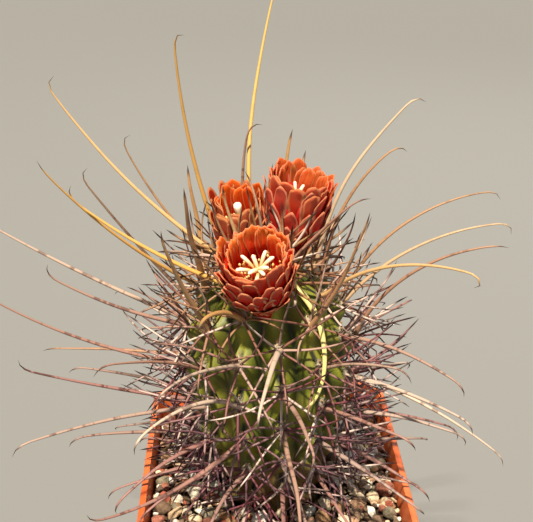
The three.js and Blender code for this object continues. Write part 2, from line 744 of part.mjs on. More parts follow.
// The hollow in the crown that a bloom's foot stands in.
function bloomSocket(bloom) {
  const place = bloomMatrix(bloom);
  const ring = (along, room) => {
    const r = bloomRadius(bloom, along / bloom.length) + GAP + room;
    return around(18, () => ({ r, z: along })).map((point) => point.applyMatrix4(place));
  };
  const { flare, sunk } = BLOOM;
  return loft([ring(-sunk - GAP, 0), ring(0.5, 0.3), ring(4, flare), ring(13, flare + 1)]);
}

function cactus() {
  const grown = union([stemBody(), ...growSpines().map(areoleBody)]);
  return largest(grown.subtract(union(BLOOMS.map(bloomSocket))));
}

// Blooms: a cup whose rim is cut into petals, with overlapping rows of scales down its outside.
function bloomShell(bloom) {
  const perPetal = 3;
  const count = BLOOM.petals * perPetal;
  const { flare, petalFlare, petalNotch, wall } = BLOOM;
  // A ring at a share of the length. Where two petals meet it drops by a notch and lies closer in.
  const ring = (share, notch, lift, shift = 0) =>
    around(count, (i) => {
      const joint = (i + shift) % perPetal === 0;
      const at = share - (joint ? notch : 0);
      return { r: bloomRadius(bloom, at) + (joint ? Math.min(lift, 0.4) : lift), z: at * bloom.length };
    });
  const foot = ring(0, 0, 0).map((point) => point.setZ(-BLOOM.sunk));
  const rows = BLOOM.rows.flatMap((share, k) => [
    ring(share, BLOOM.rowNotch[k], flare, k + 1),
    ring(share - 0.01, BLOOM.rowNotch[k], 0.1, k + 1),
  ]);
  const lip = [ring(1, petalNotch, petalFlare), ring(1, petalNotch, petalFlare - wall - 0.1)];
  const inside = [0.75, 0.5, STAMENS.foot].map((share) => ring(share, 0, -wall));
  return loft([foot, ring(0.05, 0, 0), ...rows, ...lip, ...inside]);
}

// The stamens as one ring, standing on the floor of the cup round the style.
function stamenRing(bloom) {
  const floor = STAMENS.foot * bloom.length + GAP;
  const top = STAMENS.top * bloom.length;
  const wide = bloomRadius(bloom, STAMENS.foot) - BLOOM.wall - GAP - STAMENS.side;
  const ring = (r, z, bump) =>
    around(STAMENS.anthers * 2, (i) => ({ r: i % 2 ? r + bump : r, z: i % 2 ? z + bump : z }));
  return tube([
    ring(wide - 0.6, floor, 0),
    ring(wide, top - 2.2, 0.5),
    ring(wide - 0.6, top, 0.6),
    ring(STAMENS.hole, top - 1, 0),
    ring(STAMENS.hole, floor, 0),
  ]);
}

// The style, with the lobes of its stigma open in a star or closed to a club.
function pistil(bloom) {
  const { lobes, reach, waist, rise, neck: neckShare } = STIGMA[bloom.stigma];
  const floor = STAMENS.foot * bloom.length + GAP;
  const neck = neckShare * bloom.length;
  const stalk = (z) => around(lobes * 2, () => ({ r: STAMENS.hole - GAP, z }));
  const star = (tip, gap, z) =>
    around(lobes * 2, (i) => (i % 2 ? { r: gap, z } : { r: tip, z: z + (rise * tip) / reach }));
  return loft([
    stalk(floor),
    stalk(neck),
    star(reach, waist, neck + 0.2),
    star(reach * 0.85, waist * 0.9, neck + 1.2),
    star(0.7, 0.6, neck + 1.4),
  ]);
}

// The grit: a body that fills the pot to its level, its top raised into stones. Every third point of a
// triangular net is the peak of a stone, and the points round it lie in the joints.
function gritTop() {
  const step = GRIT.stonePitch / Math.sqrt(3);
  const half = Math.ceil(POT.rimHalf / step) + 4;
  const points = [];
  const index = new Map();
  for (let j = -half; j <= half; j++) {
    const shift = Math.round(-j / 2);
    for (let i = shift - half; i <= shift + half; i++) {
      const peak = (i - j + 3 * half) % 3 === 0;
      const stray = peak ? GRIT.peakStray : GRIT.jointStray;
      const x = step * (i + j / 2) + between(-stray, stray, i, j, DRAW.stoneX);
      const y = step * (Math.sqrt(3) / 2) * j + between(-stray, stray, i, j, DRAW.stoneY);
      const rise = between(...GRIT.stoneRise, i, j, DRAW.stoneRise);
      const z = SOIL + (peak ? rise : -GRIT.jointDepth * chance(i, j, DRAW.jointDepth));
      index.set(`${i},${j}`, points.push(new THREE.Vector3(x, y, z)) - 1);
    }
  }
  const faces = [];
  for (const key of index.keys()) {
    const [i, j] = key.split(",").map(Number);
    const at = (a, b) => index.get(`${a},${b}`);
    const [here, right, upper, lower] = [at(i, j), at(i + 1, j), at(i, j + 1), at(i + 1, j - 1)];
    if (right !== undefined && upper !== undefined) faces.push([here, right, upper]);
    if (right !== undefined && lower !== undefined) faces.push([here, lower, right]);
  }
  return skirted(points, faces, -10);
}

function grit() {
  const overTop = 6; // clears the highest stones
  const collarHalf = potHalf(COLLAR_FOOT) - POT.wall - GAP;
  const collarInside = (z) => roundedSquare(collarHalf, potCorner(z) - POT.wall, z);
  const inside = loft([
    potInside(POT_FLOOR + GAP, GAP),
    potInside(COLLAR_FOOT - 1, GAP),
    collarInside(SOIL),
    collarInside(SOIL + overTop),
  ]);
  const hole = (z, depth = z) => {
    const r = girth(z) + 2 * GAP;
    const lean = new THREE.Vector3(STEM.lean * z, 0, 0);
    return around(24, () => ({ r, z: SOIL + depth })).map((point) => point.add(lean));
  };
  const stemHole = loft([hole(-STEM.buried, -STEM.buried - GAP), hole(0), hole(overTop)]);
  return largest(gritTop().intersect(inside).subtract(stemHole));
}

// Finishes.
const finish = (color, roughness) => new THREE.MeshStandardMaterial({ color, roughness, metalness: 0 });
const TERRACOTTA_PLASTIC = finish("#d26b3c", 0.45);
const MIXED_GRIT = finish("#b3a283", 0.95);
const CACTUS_SKIN = finish("#6b7a2c", 0.6);
const BRICK_PETAL = finish("#c0391d", 0.55);
const CREAM_STIGMA = finish("#f3e6ae", 0.6);
const STRAW_ANTHER = finish("#e3bf6a", 0.7);

const plant = new THREE.Group();
plant.add(meshOf("pot", pot(), TERRACOTTA_PLASTIC));
plant.add(meshOf("grit", grit(), MIXED_GRIT));
plant.add(meshOf("cactus_stem", cactus(), CACTUS_SKIN));
for (const bloom of BLOOMS) {
  const pieces = [
    meshOf(`bloom_${bloom.name}`, bloomShell(bloom), BRICK_PETAL),
    meshOf(`stamens_${bloom.name}`, stamenRing(bloom), STRAW_ANTHER),
    meshOf(`pistil_${bloom.name}`, pistil(bloom), CREAM_STIGMA),
  ];
  for (const piece of pieces) {
    piece.geometry.applyMatrix4(bloomMatrix(bloom));
    plant.add(piece);
  }
}

export default plant;
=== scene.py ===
"""Dresses the solids of a potted cat-claw cactus: pot, grit, ribbed stem, hooked spines and three blooms.

Sizes are in millimetres and become metres where a mesh is made. +Z is up, and the plant's front faces -Y.
"""

import logging
import math
from collections.abc import Iterable, Mapping, Sequence
from dataclasses import dataclass, replace
from enum import Enum, IntEnum
from functools import cached_property

import bmesh
import bpy
import numpy as np
from mathutils import Matrix, Vector, noise


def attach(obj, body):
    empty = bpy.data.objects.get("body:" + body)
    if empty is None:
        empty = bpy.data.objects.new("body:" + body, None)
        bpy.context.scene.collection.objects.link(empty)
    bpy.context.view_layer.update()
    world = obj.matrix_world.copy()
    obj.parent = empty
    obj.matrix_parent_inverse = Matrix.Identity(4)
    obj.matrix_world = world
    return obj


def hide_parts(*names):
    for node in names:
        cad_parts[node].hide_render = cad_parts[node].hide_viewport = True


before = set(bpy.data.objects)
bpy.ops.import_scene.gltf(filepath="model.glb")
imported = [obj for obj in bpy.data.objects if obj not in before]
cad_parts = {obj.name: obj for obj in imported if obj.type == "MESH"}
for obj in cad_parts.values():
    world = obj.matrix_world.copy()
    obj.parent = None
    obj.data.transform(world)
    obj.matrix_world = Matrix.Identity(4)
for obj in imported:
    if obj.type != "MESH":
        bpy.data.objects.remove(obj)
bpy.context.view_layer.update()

log = logging.getLogger("potted_cactus")

MM = 0.001
PICTURE_WIDTH_PX = 533
SOIL = 92.0
POT_HEIGHT = 100.0
RIM_HALF = 50.0

Material = bpy.types.Material
Piece = bpy.types.Object
Point = tuple[float, float, float]


# Small tools.


def linear(code: str) -> tuple[float, float, float, float]:
    """Turns an sRGB hex colour, "#rrggbb", into the linear one that a shader takes."""
    parts = [int(code[i : i + 2], 16) / 255 for i in (1, 3, 5)]
    return (*(p / 12.92 if p <= 0.04045 else ((p + 0.055) / 1.055) ** 2.4 for p in parts), 1.0)


def aim(heading: float, rise: float) -> np.ndarray:
    """Gives a unit vector by its degrees from -Y towards +X and its degrees above the horizon."""
    h, r = math.radians(heading), math.radians(rise)
    return np.array([math.sin(h) * math.cos(r), -math.cos(h) * math.cos(r), math.sin(r)])


def unit(v: np.ndarray) -> np.ndarray:
    """Scales a vector to length 1."""
    return v / np.linalg.norm(v)


def chance(a: float, b: float, c: float) -> float:
    """Gives a repeatable value from 0 to 1 for three whole numbers."""
    v = math.sin(a * 127.1 + b * 311.7 + c * 74.7) * 43758.5453
    return v - math.floor(v)


def between(low: float, high: float, a: float, b: float, c: float) -> float:
    """Gives a repeatable value from low to high for three whole numbers."""
    return low + (high - low) * chance(a, b, c)


def smooth_step(value: np.ndarray, low: float, high: float) -> np.ndarray:
    """Eases from 0 at low to 1 at high."""
    t = np.clip((value - low) / (high - low), 0, 1)
    return t * t * (3 - 2 * t)


# Pieces.


def show(name: str, mesh: bpy.types.Mesh) -> Piece:
    """Puts a mesh into the scene as an object at the origin."""
    piece = bpy.data.objects.new(name, mesh)
    bpy.context.scene.collection.objects.link(piece)
    return piece


def mesh_piece(
    name: str,
    points: Sequence[Sequence[float]],
    faces: Sequence[Sequence[int]] = (),
    edges: Sequence[Sequence[int]] = (),
    marks: Mapping[str, Sequence[float]] | None = None,
) -> Piece:
    """Makes an object from points in millimetres, with marks as attributes of one value for each point."""
    mesh = bpy.data.meshes.new(name)
    mesh.from_pydata((np.asarray(points, dtype=float) * MM).tolist(), edges, faces)
    for label, values in (marks or {}).items():
        numbers = np.asarray(values, dtype=float)
        mesh.attributes.new(label, "FLOAT", "POINT").data.foreach_set("value", numbers)
    mesh.update()
    return show(name, mesh)


def chain_piece(
    name: str, points: Sequence[Point], marks: Mapping[str, Sequence[float]] | None = None
) -> Piece:
    """Makes an object from a chain of edges through its points."""
    return mesh_piece(name, points, edges=[(i, i + 1) for i in range(len(points) - 1)], marks=marks)


def ring_piece(
    name: str, rings: Sequence[Sequence[Point]], marks: Mapping[str, Sequence[float]] | None = None
) -> Piece:
    """Makes a closed body from rings that run from its underside up the outside, then in or down."""
    count = len(rings[0])
    faces = [
        (i * count + j, i * count + (j + 1) % count, (i + 1) * count + (j + 1) % count, (i + 1) * count + j)
        for i in range(len(rings) - 1)
        for j in range(count)
    ]
    last = (len(rings) - 1) * count
    faces += [tuple(range(count - 1, -1, -1)), tuple(range(last, last + count))]
    return mesh_piece(name, [p for ring in rings for p in ring], faces, marks=marks)


def shade(piece: Piece, sharp_from: float | None = None) -> None:
    """Shades a piece smooth, with edges left sharp from a number of degrees where one is given."""
    piece.data.shade_smooth()
    if sharp_from:
        piece.data.set_sharp_from_angle(angle=math.radians(sharp_from))


def baked(source: Piece, name: str) -> Piece:
    """Keeps what an object's modifiers make of it as a plain mesh, and removes the object."""
    depsgraph = bpy.context.evaluated_depsgraph_get()
    mesh = bpy.data.meshes.new_from_object(source.evaluated_get(depsgraph), depsgraph=depsgraph)
    mesh.name = name
    source.modifiers.clear()
    bpy.data.objects.remove(source)
    return show(name, mesh)


def grown(source: Piece, name: str, growth: "Growth", inputs: Mapping[str, object]) -> Piece:
    """Runs a growth with its named inputs on an object and keeps the result as a plain mesh."""
    modifier = source.modifiers.new("growth", "NODES")
    modifier.node_group = growth.tree()
    for item in modifier.node_group.interface.items_tree:
        if item.item_type == "SOCKET" and item.in_out == "INPUT" and item.name in inputs:
            modifier[item.identifier] = inputs[item.name]
    return baked(source, name)


def joined(name: str, pieces: Sequence[Piece]) -> Piece:
    """Joins objects into the first, which takes the name."""
    with bpy.context.temp_override(active_object=pieces[0], selected_editable_objects=list(pieces)):
        bpy.ops.object.join()
    pieces[0].name = pieces[0].data.name = name
    return pieces[0]


def settle(piece: Piece, slot: str, *nodes: str) -> None:
    """Ties a finished piece to the plant's one body and hides the solids that it replaces. The slot is not
    used.
    """
    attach(piece, "root")
    if nodes:
        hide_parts(*nodes)
    log.info("%s: %d faces, for %s", piece.name, len(piece.data.polygons), ", ".join(nodes) or "no solid")


# Node trees.


@dataclass(frozen=True)
class Value:
    """A number, vector or colour inside a node tree. A sum of values adds its maths nodes to the tree."""

    graph: "Graph"
    socket: bpy.types.NodeSocket

    def __add__(self, other: object) -> "Value":
        return self.graph.math("ADD", self, other)

    def __sub__(self, other: object) -> "Value":
        return self.graph.math("SUBTRACT", self, other)

    def __rsub__(self, other: object) -> "Value":
        return self.graph.math("SUBTRACT", other, self)

    def __mul__(self, other: object) -> "Value":
        return self.graph.math("MULTIPLY", self, other)

    def __truediv__(self, other: object) -> "Value":
        return self.graph.math("DIVIDE", self, other)

    def __rtruediv__(self, other: object) -> "Value":
        return self.graph.math("DIVIDE", other, self)

    def __mod__(self, other: object) -> "Value":
        return self.graph.math("FLOORED_MODULO", self, other)

    def __pow__(self, other: object) -> "Value":
        return self.graph.math("POWER", self, other)

    def remap(
        self, source: tuple[object, object], target: tuple[object, object], smooth: bool = False
    ) -> "Value":
        """Carries one range over to another and stops at both ends, evenly or with a soft start and end."""
        feeds = {"Value": self, 1: source[0], 2: source[1], 3: target[0], 4: target[1]}
        easing = "SMOOTHSTEP" if smooth else "LINEAR"
        return self.graph.value("ShaderNodeMapRange", feeds, interpolation_type=easing)

    def parts(self) -> tuple["Value", "Value", "Value"]:
        """Gives a vector's x, y and z."""
        outputs = self.graph.add("ShaderNodeSeparateXYZ", {0: self}).outputs
        return tuple(Value(self.graph, output) for output in outputs)


class Graph:
    """A node tree, with a short call for each kind of node that several finishes or growths need."""

    def __init__(self, tree: bpy.types.NodeTree) -> None:
        """Wraps a tree."""
        self.tree = tree

    def feed(self, node: bpy.types.Node, feeds: Mapping[str | int, object]) -> None:
        """Sets or links inputs of a node, each by its name or number."""
        for key, value in feeds.items():
            if isinstance(value, bpy.types.Node):
                value = value.outputs[0]
            if isinstance(value, Value):
                value = value.socket
            if isinstance(value, bpy.types.NodeSocket):
                self.tree.links.new(value, node.inputs[key])
            else:
                node.inputs[key].default_value = value

    def add(
        self, kind: str, feeds: Mapping[str | int, object] | None = None, **settings: object
    ) -> bpy.types.Node:
        """Adds a node with its settings and what feeds it."""
        node = self.tree.nodes.new(kind)
        for name, value in settings.items():
            setattr(node, name, value)
        self.feed(node, feeds or {})
        return node

    def value(
        self,
        kind: str,
        feeds: Mapping[str | int, object] | None = None,
        output: str | int = 0,
        **settings: object,
    ) -> Value:
        """Adds a node and gives one of its outputs."""
        return Value(self, self.add(kind, feeds, **settings).outputs[output])

    def math(self, operation: str, *values: object) -> Value:
        """Adds one maths node."""
        return self.value("ShaderNodeMath", dict(enumerate(values)), operation=operation)

    def vector(self, x: object, y: object, z: object = 0.0) -> Value:
        """Makes a vector of three numbers."""
        return self.value("ShaderNodeCombineXYZ", {"X": x, "Y": y, "Z": z})

    def attribute(self, name: str) -> Value:
        """Gives a mesh attribute inside a material."""
        return self.value("ShaderNodeAttribute", output="Fac", attribute_name=name)

    def noise(self, size: float, detail: float) -> Value:
        """Gives soft noise over the object, with its lumps' size in millimetres."""
        place = self.value("ShaderNodeTexCoord", output="Object")
        feeds = {"Vector": place, "Scale": 1 / (size * MM), "Detail": detail}
        return self.value("ShaderNodeTexNoise", feeds, "Fac")

    def cells(self, size: float) -> Value:
        """Gives the distance from the middle of round cells over the object, of a size in millimetres."""
        place = self.value("ShaderNodeTexCoord", output="Object")
        return self.value("ShaderNodeTexVoronoi", {"Vector": place, "Scale": 1 / (size * MM)}, "Distance")

    def ramp(self, share: Value, stops: Mapping[float, str], hard: bool = False) -> Value:
        """Runs a value through a row of colours, blended or with hard steps."""
        node = self.add("ShaderNodeValToRGB", {"Fac": share})
        band = node.color_ramp
        band.interpolation = "CONSTANT" if hard else "LINEAR"
        while len(band.elements) < len(stops):
            band.elements.new(0.5)
        for element, (place, code) in zip(band.elements, stops.items()):
            element.position = place
            element.color = linear(code)
        return Value(self, node.outputs[0])

    def blend(self, share: object, under: object, over: object, how: str = "MIX") -> Value:
        """Lays one colour over another by a share. Each is a value or a hex code."""
        under, over = (linear(colour) if isinstance(colour, str) else colour for colour in (under, over))
        feeds = {"Factor": share, 6: under, 7: over}
        return self.value("ShaderNodeMix", feeds, 2, data_type="RGBA", blend_type=how)

    def layered(self, colour: object, *layers: tuple[Value, str]) -> Value:
        """Lays hex colours over a colour one by one, each by its share."""
        for share, over in layers:
            colour = self.blend(share, colour, over)
        return colour

    def bump(self, height: Value, depth: float, strength: float, invert: bool = False) -> Value:
        """Gives a surface relief of a depth in millimetres."""
        feeds = {"Strength": strength, "Distance": depth * MM, "Height": height}
        return self.value("ShaderNodeBump", feeds, invert=invert)


class GrowthGraph(Graph):
    """A Geometry Nodes tree with named inputs. Geometry and Material are always among them."""

    def __init__(self, name: str, **inputs: Sequence[str]) -> None:
        """Starts the tree, with the names of its inputs by their kind."""
        super().__init__(bpy.data.node_groups.new(name, "GeometryNodeTree"))
        for kind, labels in {"Geometry": ("Geometry",), **inputs, "Material": ("Material",)}.items():
            for label in labels:
                self.tree.interface.new_socket(label, in_out="INPUT", socket_type=f"NodeSocket{kind}")
        self.tree.interface.new_socket("Geometry", in_out="OUTPUT", socket_type="NodeSocketGeometry")
        self.given = {output.name: Value(self, output) for output in self.add("NodeGroupInput").outputs}
        self.out = self.add("NodeGroupOutput")

    def named(self, name: str) -> Value:
        """Gives an attribute of the geometry."""
        return self.value("GeometryNodeInputNamedAttribute", {"Name": name}, data_type="FLOAT")

    def random(self, low: object, high: object, seed: Value, index: Value | None = None) -> Value:
        """Gives a value of chance between two numbers, or between two vectors given as tuples."""
        is_vector = isinstance(low, tuple)
        feeds = {0: low, 1: high} if is_vector else {2: low, 3: high}
        feeds[8] = seed
        if index is not None:
            feeds[7] = index
        kind = "FLOAT_VECTOR" if is_vector else "FLOAT"
        return self.value("FunctionNodeRandomValue", feeds, 0 if is_vector else 1, data_type=kind)

    def copies(
        self, points: object, instance: object, rotation: Value, scale: Value, **feeds: object
    ) -> Value:
        """Sets a copy of an instance on each point."""
        feeds = {"Points": points, "Instance": instance, "Rotation": rotation, "Scale": scale, **feeds}
        return self.value("GeometryNodeInstanceOnPoints", feeds)

    def store(self, geometry: object, name: str, value: Value, domain: str = "POINT") -> Value:
        """Stores a value as an attribute."""
        feeds = {"Geometry": geometry, "Name": name, "Value": value}
        return self.value("GeometryNodeStoreNamedAttribute", feeds, data_type="FLOAT", domain=domain)

    def sweep(self, curve: object, section: object, scale: Value) -> Value:
        """Sweeps a section along curves and closes both ends."""
        feeds = {"Curve": curve, "Profile Curve": section, "Scale": scale, "Fill Caps": True}
        return self.value("GeometryNodeCurveToMesh", feeds)

    def real(self, geometry: Value) -> Value:
        """Turns copies into geometry of their own."""
        return self.value("GeometryNodeRealizeInstances", {"Geometry": geometry})

    def end(self, geometry: object, smooth: bool) -> bpy.types.NodeTree:
        """Shades the geometry where asked, gives it the material and ends the tree with it."""
        if smooth:
            geometry = self.value("GeometryNodeSetShadeSmooth", {"Geometry": geometry})
        feeds = {"Geometry": self.real(geometry), "Material": self.given["Material"]}
        self.feed(self.out, {"Geometry": self.value("GeometryNodeSetMaterial", feeds)})
        return self.tree


# Finishes.


def subsurface(weight: float, radius: Point, depth: float) -> dict[str, object]:
    """Gives the shader's inputs for light that goes in under a surface, to a depth in millimetres."""
    return {"Subsurface Weight": weight, "Subsurface Radius": radius, "Subsurface Scale": depth * MM}


@dataclass(frozen=True)
class Finish:
    """A surface finish. Each kind says what feeds the shader, and distances are in millimetres."""

    name: str
    roughness: float

    def looks(self, graph: Graph) -> Mapping[str, object]:
        """Gives what feeds the shader's inputs, by their names."""
        raise NotImplementedError

    def material(self) -> Material:
        """Makes the material."""
        material = bpy.data.materials.new(self.name)
        material.use_nodes = True
        graph = Graph(material.node_tree)
        plain = {"Roughness": self.roughness, "IOR": 1.46}
        graph.feed(graph.tree.nodes["Principled BSDF"], {**plain, **self.looks(graph)})
        return material


@dataclass(frozen=True)
class Paint(Finish):
    """One even colour."""

    colour: str

    def looks(self, graph: Graph) -> Mapping[str, object]:
        """Gives the colour."""
        return {"Base Color": linear(self.colour)}


@dataclass(frozen=True)
class PotPlastic(Finish):
    """Injection-moulded polypropylene in terracotta orange: an even satin with fine mould grain and dust."""

    colour: str = "#d9622f"
    faded: str = "#df7a4a"
    dust: str = "#cfa88a"
    cloud: float = 22.0
    speck: float = 1.6
    grain: float = 0.5

    def looks(self, graph: Graph) -> Mapping[str, object]:
        """Gives faded clouds, dust specks and grain."""
        cloud = graph.noise(self.cloud, detail=5)
        body = graph.ramp(cloud, {0.35: self.colour, 0.75: self.faded})
        dusty = graph.noise(self.speck, detail=6).remap((0.62, 0.78), (0, 0.55))
        return {
            "Base Color": graph.blend(dusty, body, self.dust),
            "Normal": graph.bump(graph.noise(self.grain, detail=3), depth=0.12, strength=0.25),
            "Roughness": cloud.remap((0, 1), (0.36, 0.56)),
            **subsurface(0.08, (1.0, 0.35, 0.15), depth=1.0),
        }


@dataclass(frozen=True)
class MixedStone(Finish):
    """Washed quartz, lava and clay grit: each stone takes one hue, with fine specks and a dry matt face."""

    hues: tuple[str, ...] = (
        "#f6ecd8", "#d9bc98", "#a98460", "#fdf8ec", "#7d6652", "#e9d2b0", "#a56a58",
        "#fffaf0", "#c79f80", "#6e5a4e", "#e6d3b8", "#b4634e", "#f2e2c2", "#8f8672",
    )
    speck: float = 0.9

    def looks(self, graph: Graph) -> Mapping[str, object]:
        """Gives each stone its hue and its specks."""
        stops = {i / len(self.hues): hue for i, hue in enumerate(self.hues)}
        body = graph.ramp(graph.attribute("tint"), stops, hard=True)
        specks = graph.noise(self.speck, detail=6)
        return {
            "Base Color": graph.blend(1.0, body, specks.remap((0.3, 0.7), (0.5, 1.15)), "MULTIPLY"),
            "Normal": graph.bump(specks, depth=0.3, strength=0.5),
        }


@dataclass(frozen=True)
class FineSoil(Finish):
    """Dust and crumbs of lava between the stones: dark brown, matt and rough."""

    dark: str = "#2e2118"
    light: str = "#6e5540"
    crumb: float = 1.1

    def looks(self, graph: Graph) -> Mapping[str, object]:
        """Gives light crumbs in dark dust."""
        crumbs = graph.cells(self.crumb)
        return {
            "Base Color": graph.ramp(crumbs, {0.1: self.light, 0.6: self.dark}),
            "Normal": graph.bump(crumbs, depth=0.5, strength=0.8, invert=True),
        }


@dataclass(frozen=True)
class CactusSkin(Finish):
    """Waxy cactus skin, corky at the foot: yellow-green on the crests as painted light and dark in the
    furrows as painted shade.
    """

    # The crest, flank and furrow colours paint light and shade across each rib: lit, half lit and shaded.
    crest: str = "#8f9228"
    flank: str = "#626b17"
    furrow: str = "#1f2908"
    bronze: str = "#83792a"
    cork: str = "#7a6440"
    fleck: str = "#a3a85c"
    # The grooves' own dark tone, deepened with painted shade of the recess and the spines.
    groove: str = "#15181f"
    foot: float = 88.0
    ragged_by: float = 22.0
    cloud: float = 14.0
    dot: float = 0.9
    grain: float = 0.7

    def looks(self, graph: Graph) -> Mapping[str, object]:
        """Gives the ribs' greens with painted light on the crests and painted shade in the furrows, bronze
        clouds, pale dots, cork and dark grooves partly painted shade.
        """
        cloud = graph.noise(self.cloud, detail=4)
        ragged = graph.math("MULTIPLY_ADD", cloud, self.ragged_by, graph.attribute("arc"))
        patchy = cloud.remap((0.44, 0.54), (0.1, 0.95))
        colour = graph.layered(
            # Painted light and shade: lighter on the crests, darker towards the furrows.
            graph.ramp(graph.attribute("furrow"), {0.05: self.crest, 0.5: self.flank, 1.0: self.furrow}),
            (cloud.remap((0.48, 0.72), (0, 0.5)), self.bronze),
            (graph.cells(self.dot).remap((0.1, 0.24), (0.25, 0)), self.fleck),
            (ragged.remap((self.foot + 6, self.foot + 20), (0, 0.85)), self.cork),
            # Dark grooves above the areoles: partly their own tone, partly painted shade.
            (graph.attribute("groove") * patchy, self.groove),
        )
        return {
            "Base Color": colour,
            "Normal": graph.bump(graph.noise(self.grain, detail=4), depth=0.15, strength=0.3),
            "Roughness": cloud.remap((0, 1), (0.38, 0.6)),
            **subsurface(0.12, (0.6, 1.0, 0.2), depth=1.5),
        }


@dataclass(frozen=True)
class Horn(Finish):
    """Spine horn: straw gold when young, pink-grey with brown rings when old, near black at the point, with
    painted shade under old spines.
    """

    hues: tuple[tuple[float, str], ...] = (
        (0.0, "#f4ee9c"), (0.2, "#dcab58"), (0.42, "#bc9254"), (0.6, "#b18b62"),
        (0.8, "#a48476"), (1.0, "#90766f"),
    )
    pale: str = "#f3e6d4"
    rose: str = "#9a6462"
    pale_weight: float = 0.4
    rose_weight: float = 0.55
    ring: str = "#4c2622"
    point: str = "#2e1710"
    point_length: float = 4.0
    # How dark the painted shade makes the underside of an old spine.
    under: float = 0.42
    fibre: float = 0.5

    def looks(self, graph: Graph) -> Mapping[str, object]:
        """Gives each spine its hue by age, some pale and some rosy, with rings, a dark point and painted
        shade under old spines.
        """
        age, rest, run, tint = (graph.attribute(name) for name in ("age", "rest", "run", "tint"))
        lane = graph.vector(run, tint * 90.0)
        feeds = {"Vector": lane, "Scale": 0.17, "Detail": 3.0, "Roughness": 0.75}
        rings = graph.value("ShaderNodeTexNoise", feeds, "Fac")
        old = age.remap((0.45, 0.88), (0.1, 1))
        at_point = rest.remap((self.point_length * 0.4, self.point_length * 1.3), (0.95, 0), smooth=True)
        colour = graph.layered(
            graph.ramp(age, dict(self.hues)),
            (tint.remap((0.62, 0.95), (0, self.pale_weight)), self.pale),
            (tint.remap((0.45, 0.15), (0, self.rose_weight)) * old, self.rose),
            (rings.remap((0.52, 0.6), (0, 0.8)) * old, self.ring),
            (at_point, self.point),
        )
        # Painted shade: old spines grow darker where their surface faces down.
        facing = graph.value("ShaderNodeNewGeometry", output="Normal").parts()[2]
        lower = facing.remap((-0.5, 0.35), (self.under, 1))
        painted_underside_shade = graph.value("ShaderNodeMix", {0: old, 2: 1.0, 3: lower})
        return {
            "Base Color": graph.blend(1.0, colour, painted_underside_shade, "MULTIPLY"),
            "Normal": graph.bump(graph.noise(self.fibre, detail=3), depth=0.12, strength=0.4),
        }


@dataclass(frozen=True)
class Felt(Finish):
    """Areole wool: short dry hairs, cream on the crown and grey further down."""

    young: str = "#e8dab6"
    old: str = "#a2968a"

    def looks(self, graph: Graph) -> Mapping[str, object]:
        """Gives each hair its hue by age and its tone by chance."""
        body = graph.ramp(graph.attribute("age"), {0.3: self.young, 0.9: self.old})
        tone = graph.attribute("tint").remap((0, 1), (0.45, 1.1))
        return {"Base Color": graph.blend(1.0, body, tone, "MULTIPLY"), "Sheen Weight": 0.3}


@dataclass(frozen=True)
class Petal(Finish):
    """Petal skin: a dark heart, fine lengthwise veins and painted shade between flutes, painted highlight on
    the ridges and a pale dry margin.
    """

    throat: str = "#e01204"
    heart: str = "#e03c16"
    blade: str = "#e06a2a"
    back: str = "#b40e04"
    back_margin: str = "#c47a58"
    back_fade: float = 0.45
    margin: str = "#dda074"
    # Dark streaks: the petal's veins, and painted shade in the gaps between flutes.
    vein_and_shade: str = "#a8300f"
    margin_from: float = 0.1
    margin_to: float = 0.45
    margin_weight: float = 0.45
    # Light streaks on the upper blade: painted highlight on the fluted ridges.
    ridge_highlight: str = "#ec9858"
    veins: float = 9.0
    vein_weight: float = 0.35
    ridge_weight: float = 0.4
    throat_to: float = 0.66

    def looks(self, graph: Graph) -> Mapping[str, object]:
        """Gives the inside hues by height, veins with painted shade, ridges of painted highlight and a
        margin, and the outside its own two.
        """
        names = ("along", "height", "across", "edge", "tint")
        along, height, across, edge, tint = (graph.attribute(name) for name in names)
        stretch = {0: graph.vector(across, along, tint), 1: (self.veins, 0.15, 40.0)}
        lane = graph.value("ShaderNodeVectorMath", stretch, operation="MULTIPLY")
        veins = graph.value("ShaderNodeTexNoise", {"Vector": lane, "Scale": 1.0, "Detail": 2.0}, "Fac")
        low, high = self.throat_to - 0.12, self.throat_to + 0.12
        ridged = height.remap((self.throat_to, 0.9), (0, self.ridge_weight))
        rim = edge.remap((self.margin_from, self.margin_to), (self.margin_weight, 0), smooth=True)
        inside = graph.layered(
            graph.ramp(height, {low: self.throat, high: self.heart, 0.95: self.blade}),
            # Streaks laid by noise: veins with painted shade, then painted highlight on the ridges.
            (veins.remap((0.5, 0.7), (0, self.vein_weight)), self.vein_and_shade),
            (veins.remap((0.47, 0.33), (0, ridged)), self.ridge_highlight),
            (rim, self.margin),
        )
        outside = graph.layered(
            self.back,
            (along.remap((0.45, 1), (0, self.back_fade)), self.back_margin),
            (edge.remap((0.3, 1.1), (0.95, 0), smooth=True), self.back_margin),
        )
        return {
            "Base Color": graph.blend(graph.attribute("outside"), inside, outside),
            "Normal": graph.bump(veins, depth=0.2, strength=0.4),
            "Specular IOR Level": 0.15,
            **subsurface(0.4, (1.0, 0.25, 0.1), depth=1.5),
        }


@dataclass(frozen=True)
class Flesh(Finish):
    """Soft flower parts of one hue that deepens towards their foot, such as lobes, anthers and filaments."""

    foot: str
    head: str
    grain: float = 0.3

    def looks(self, graph: Graph) -> Mapping[str, object]:
        """Gives the two hues and a fine grain."""
        return {
            "Base Color": graph.ramp(graph.attribute("along"), {0.1: self.foot, 0.7: self.head}),
            "Normal": graph.bump(graph.noise(self.grain, detail=2), depth=0.1, strength=0.5),
            **subsurface(0.2, (1.0, 0.9, 0.6), depth=0.5),
        }


# Growth trees.


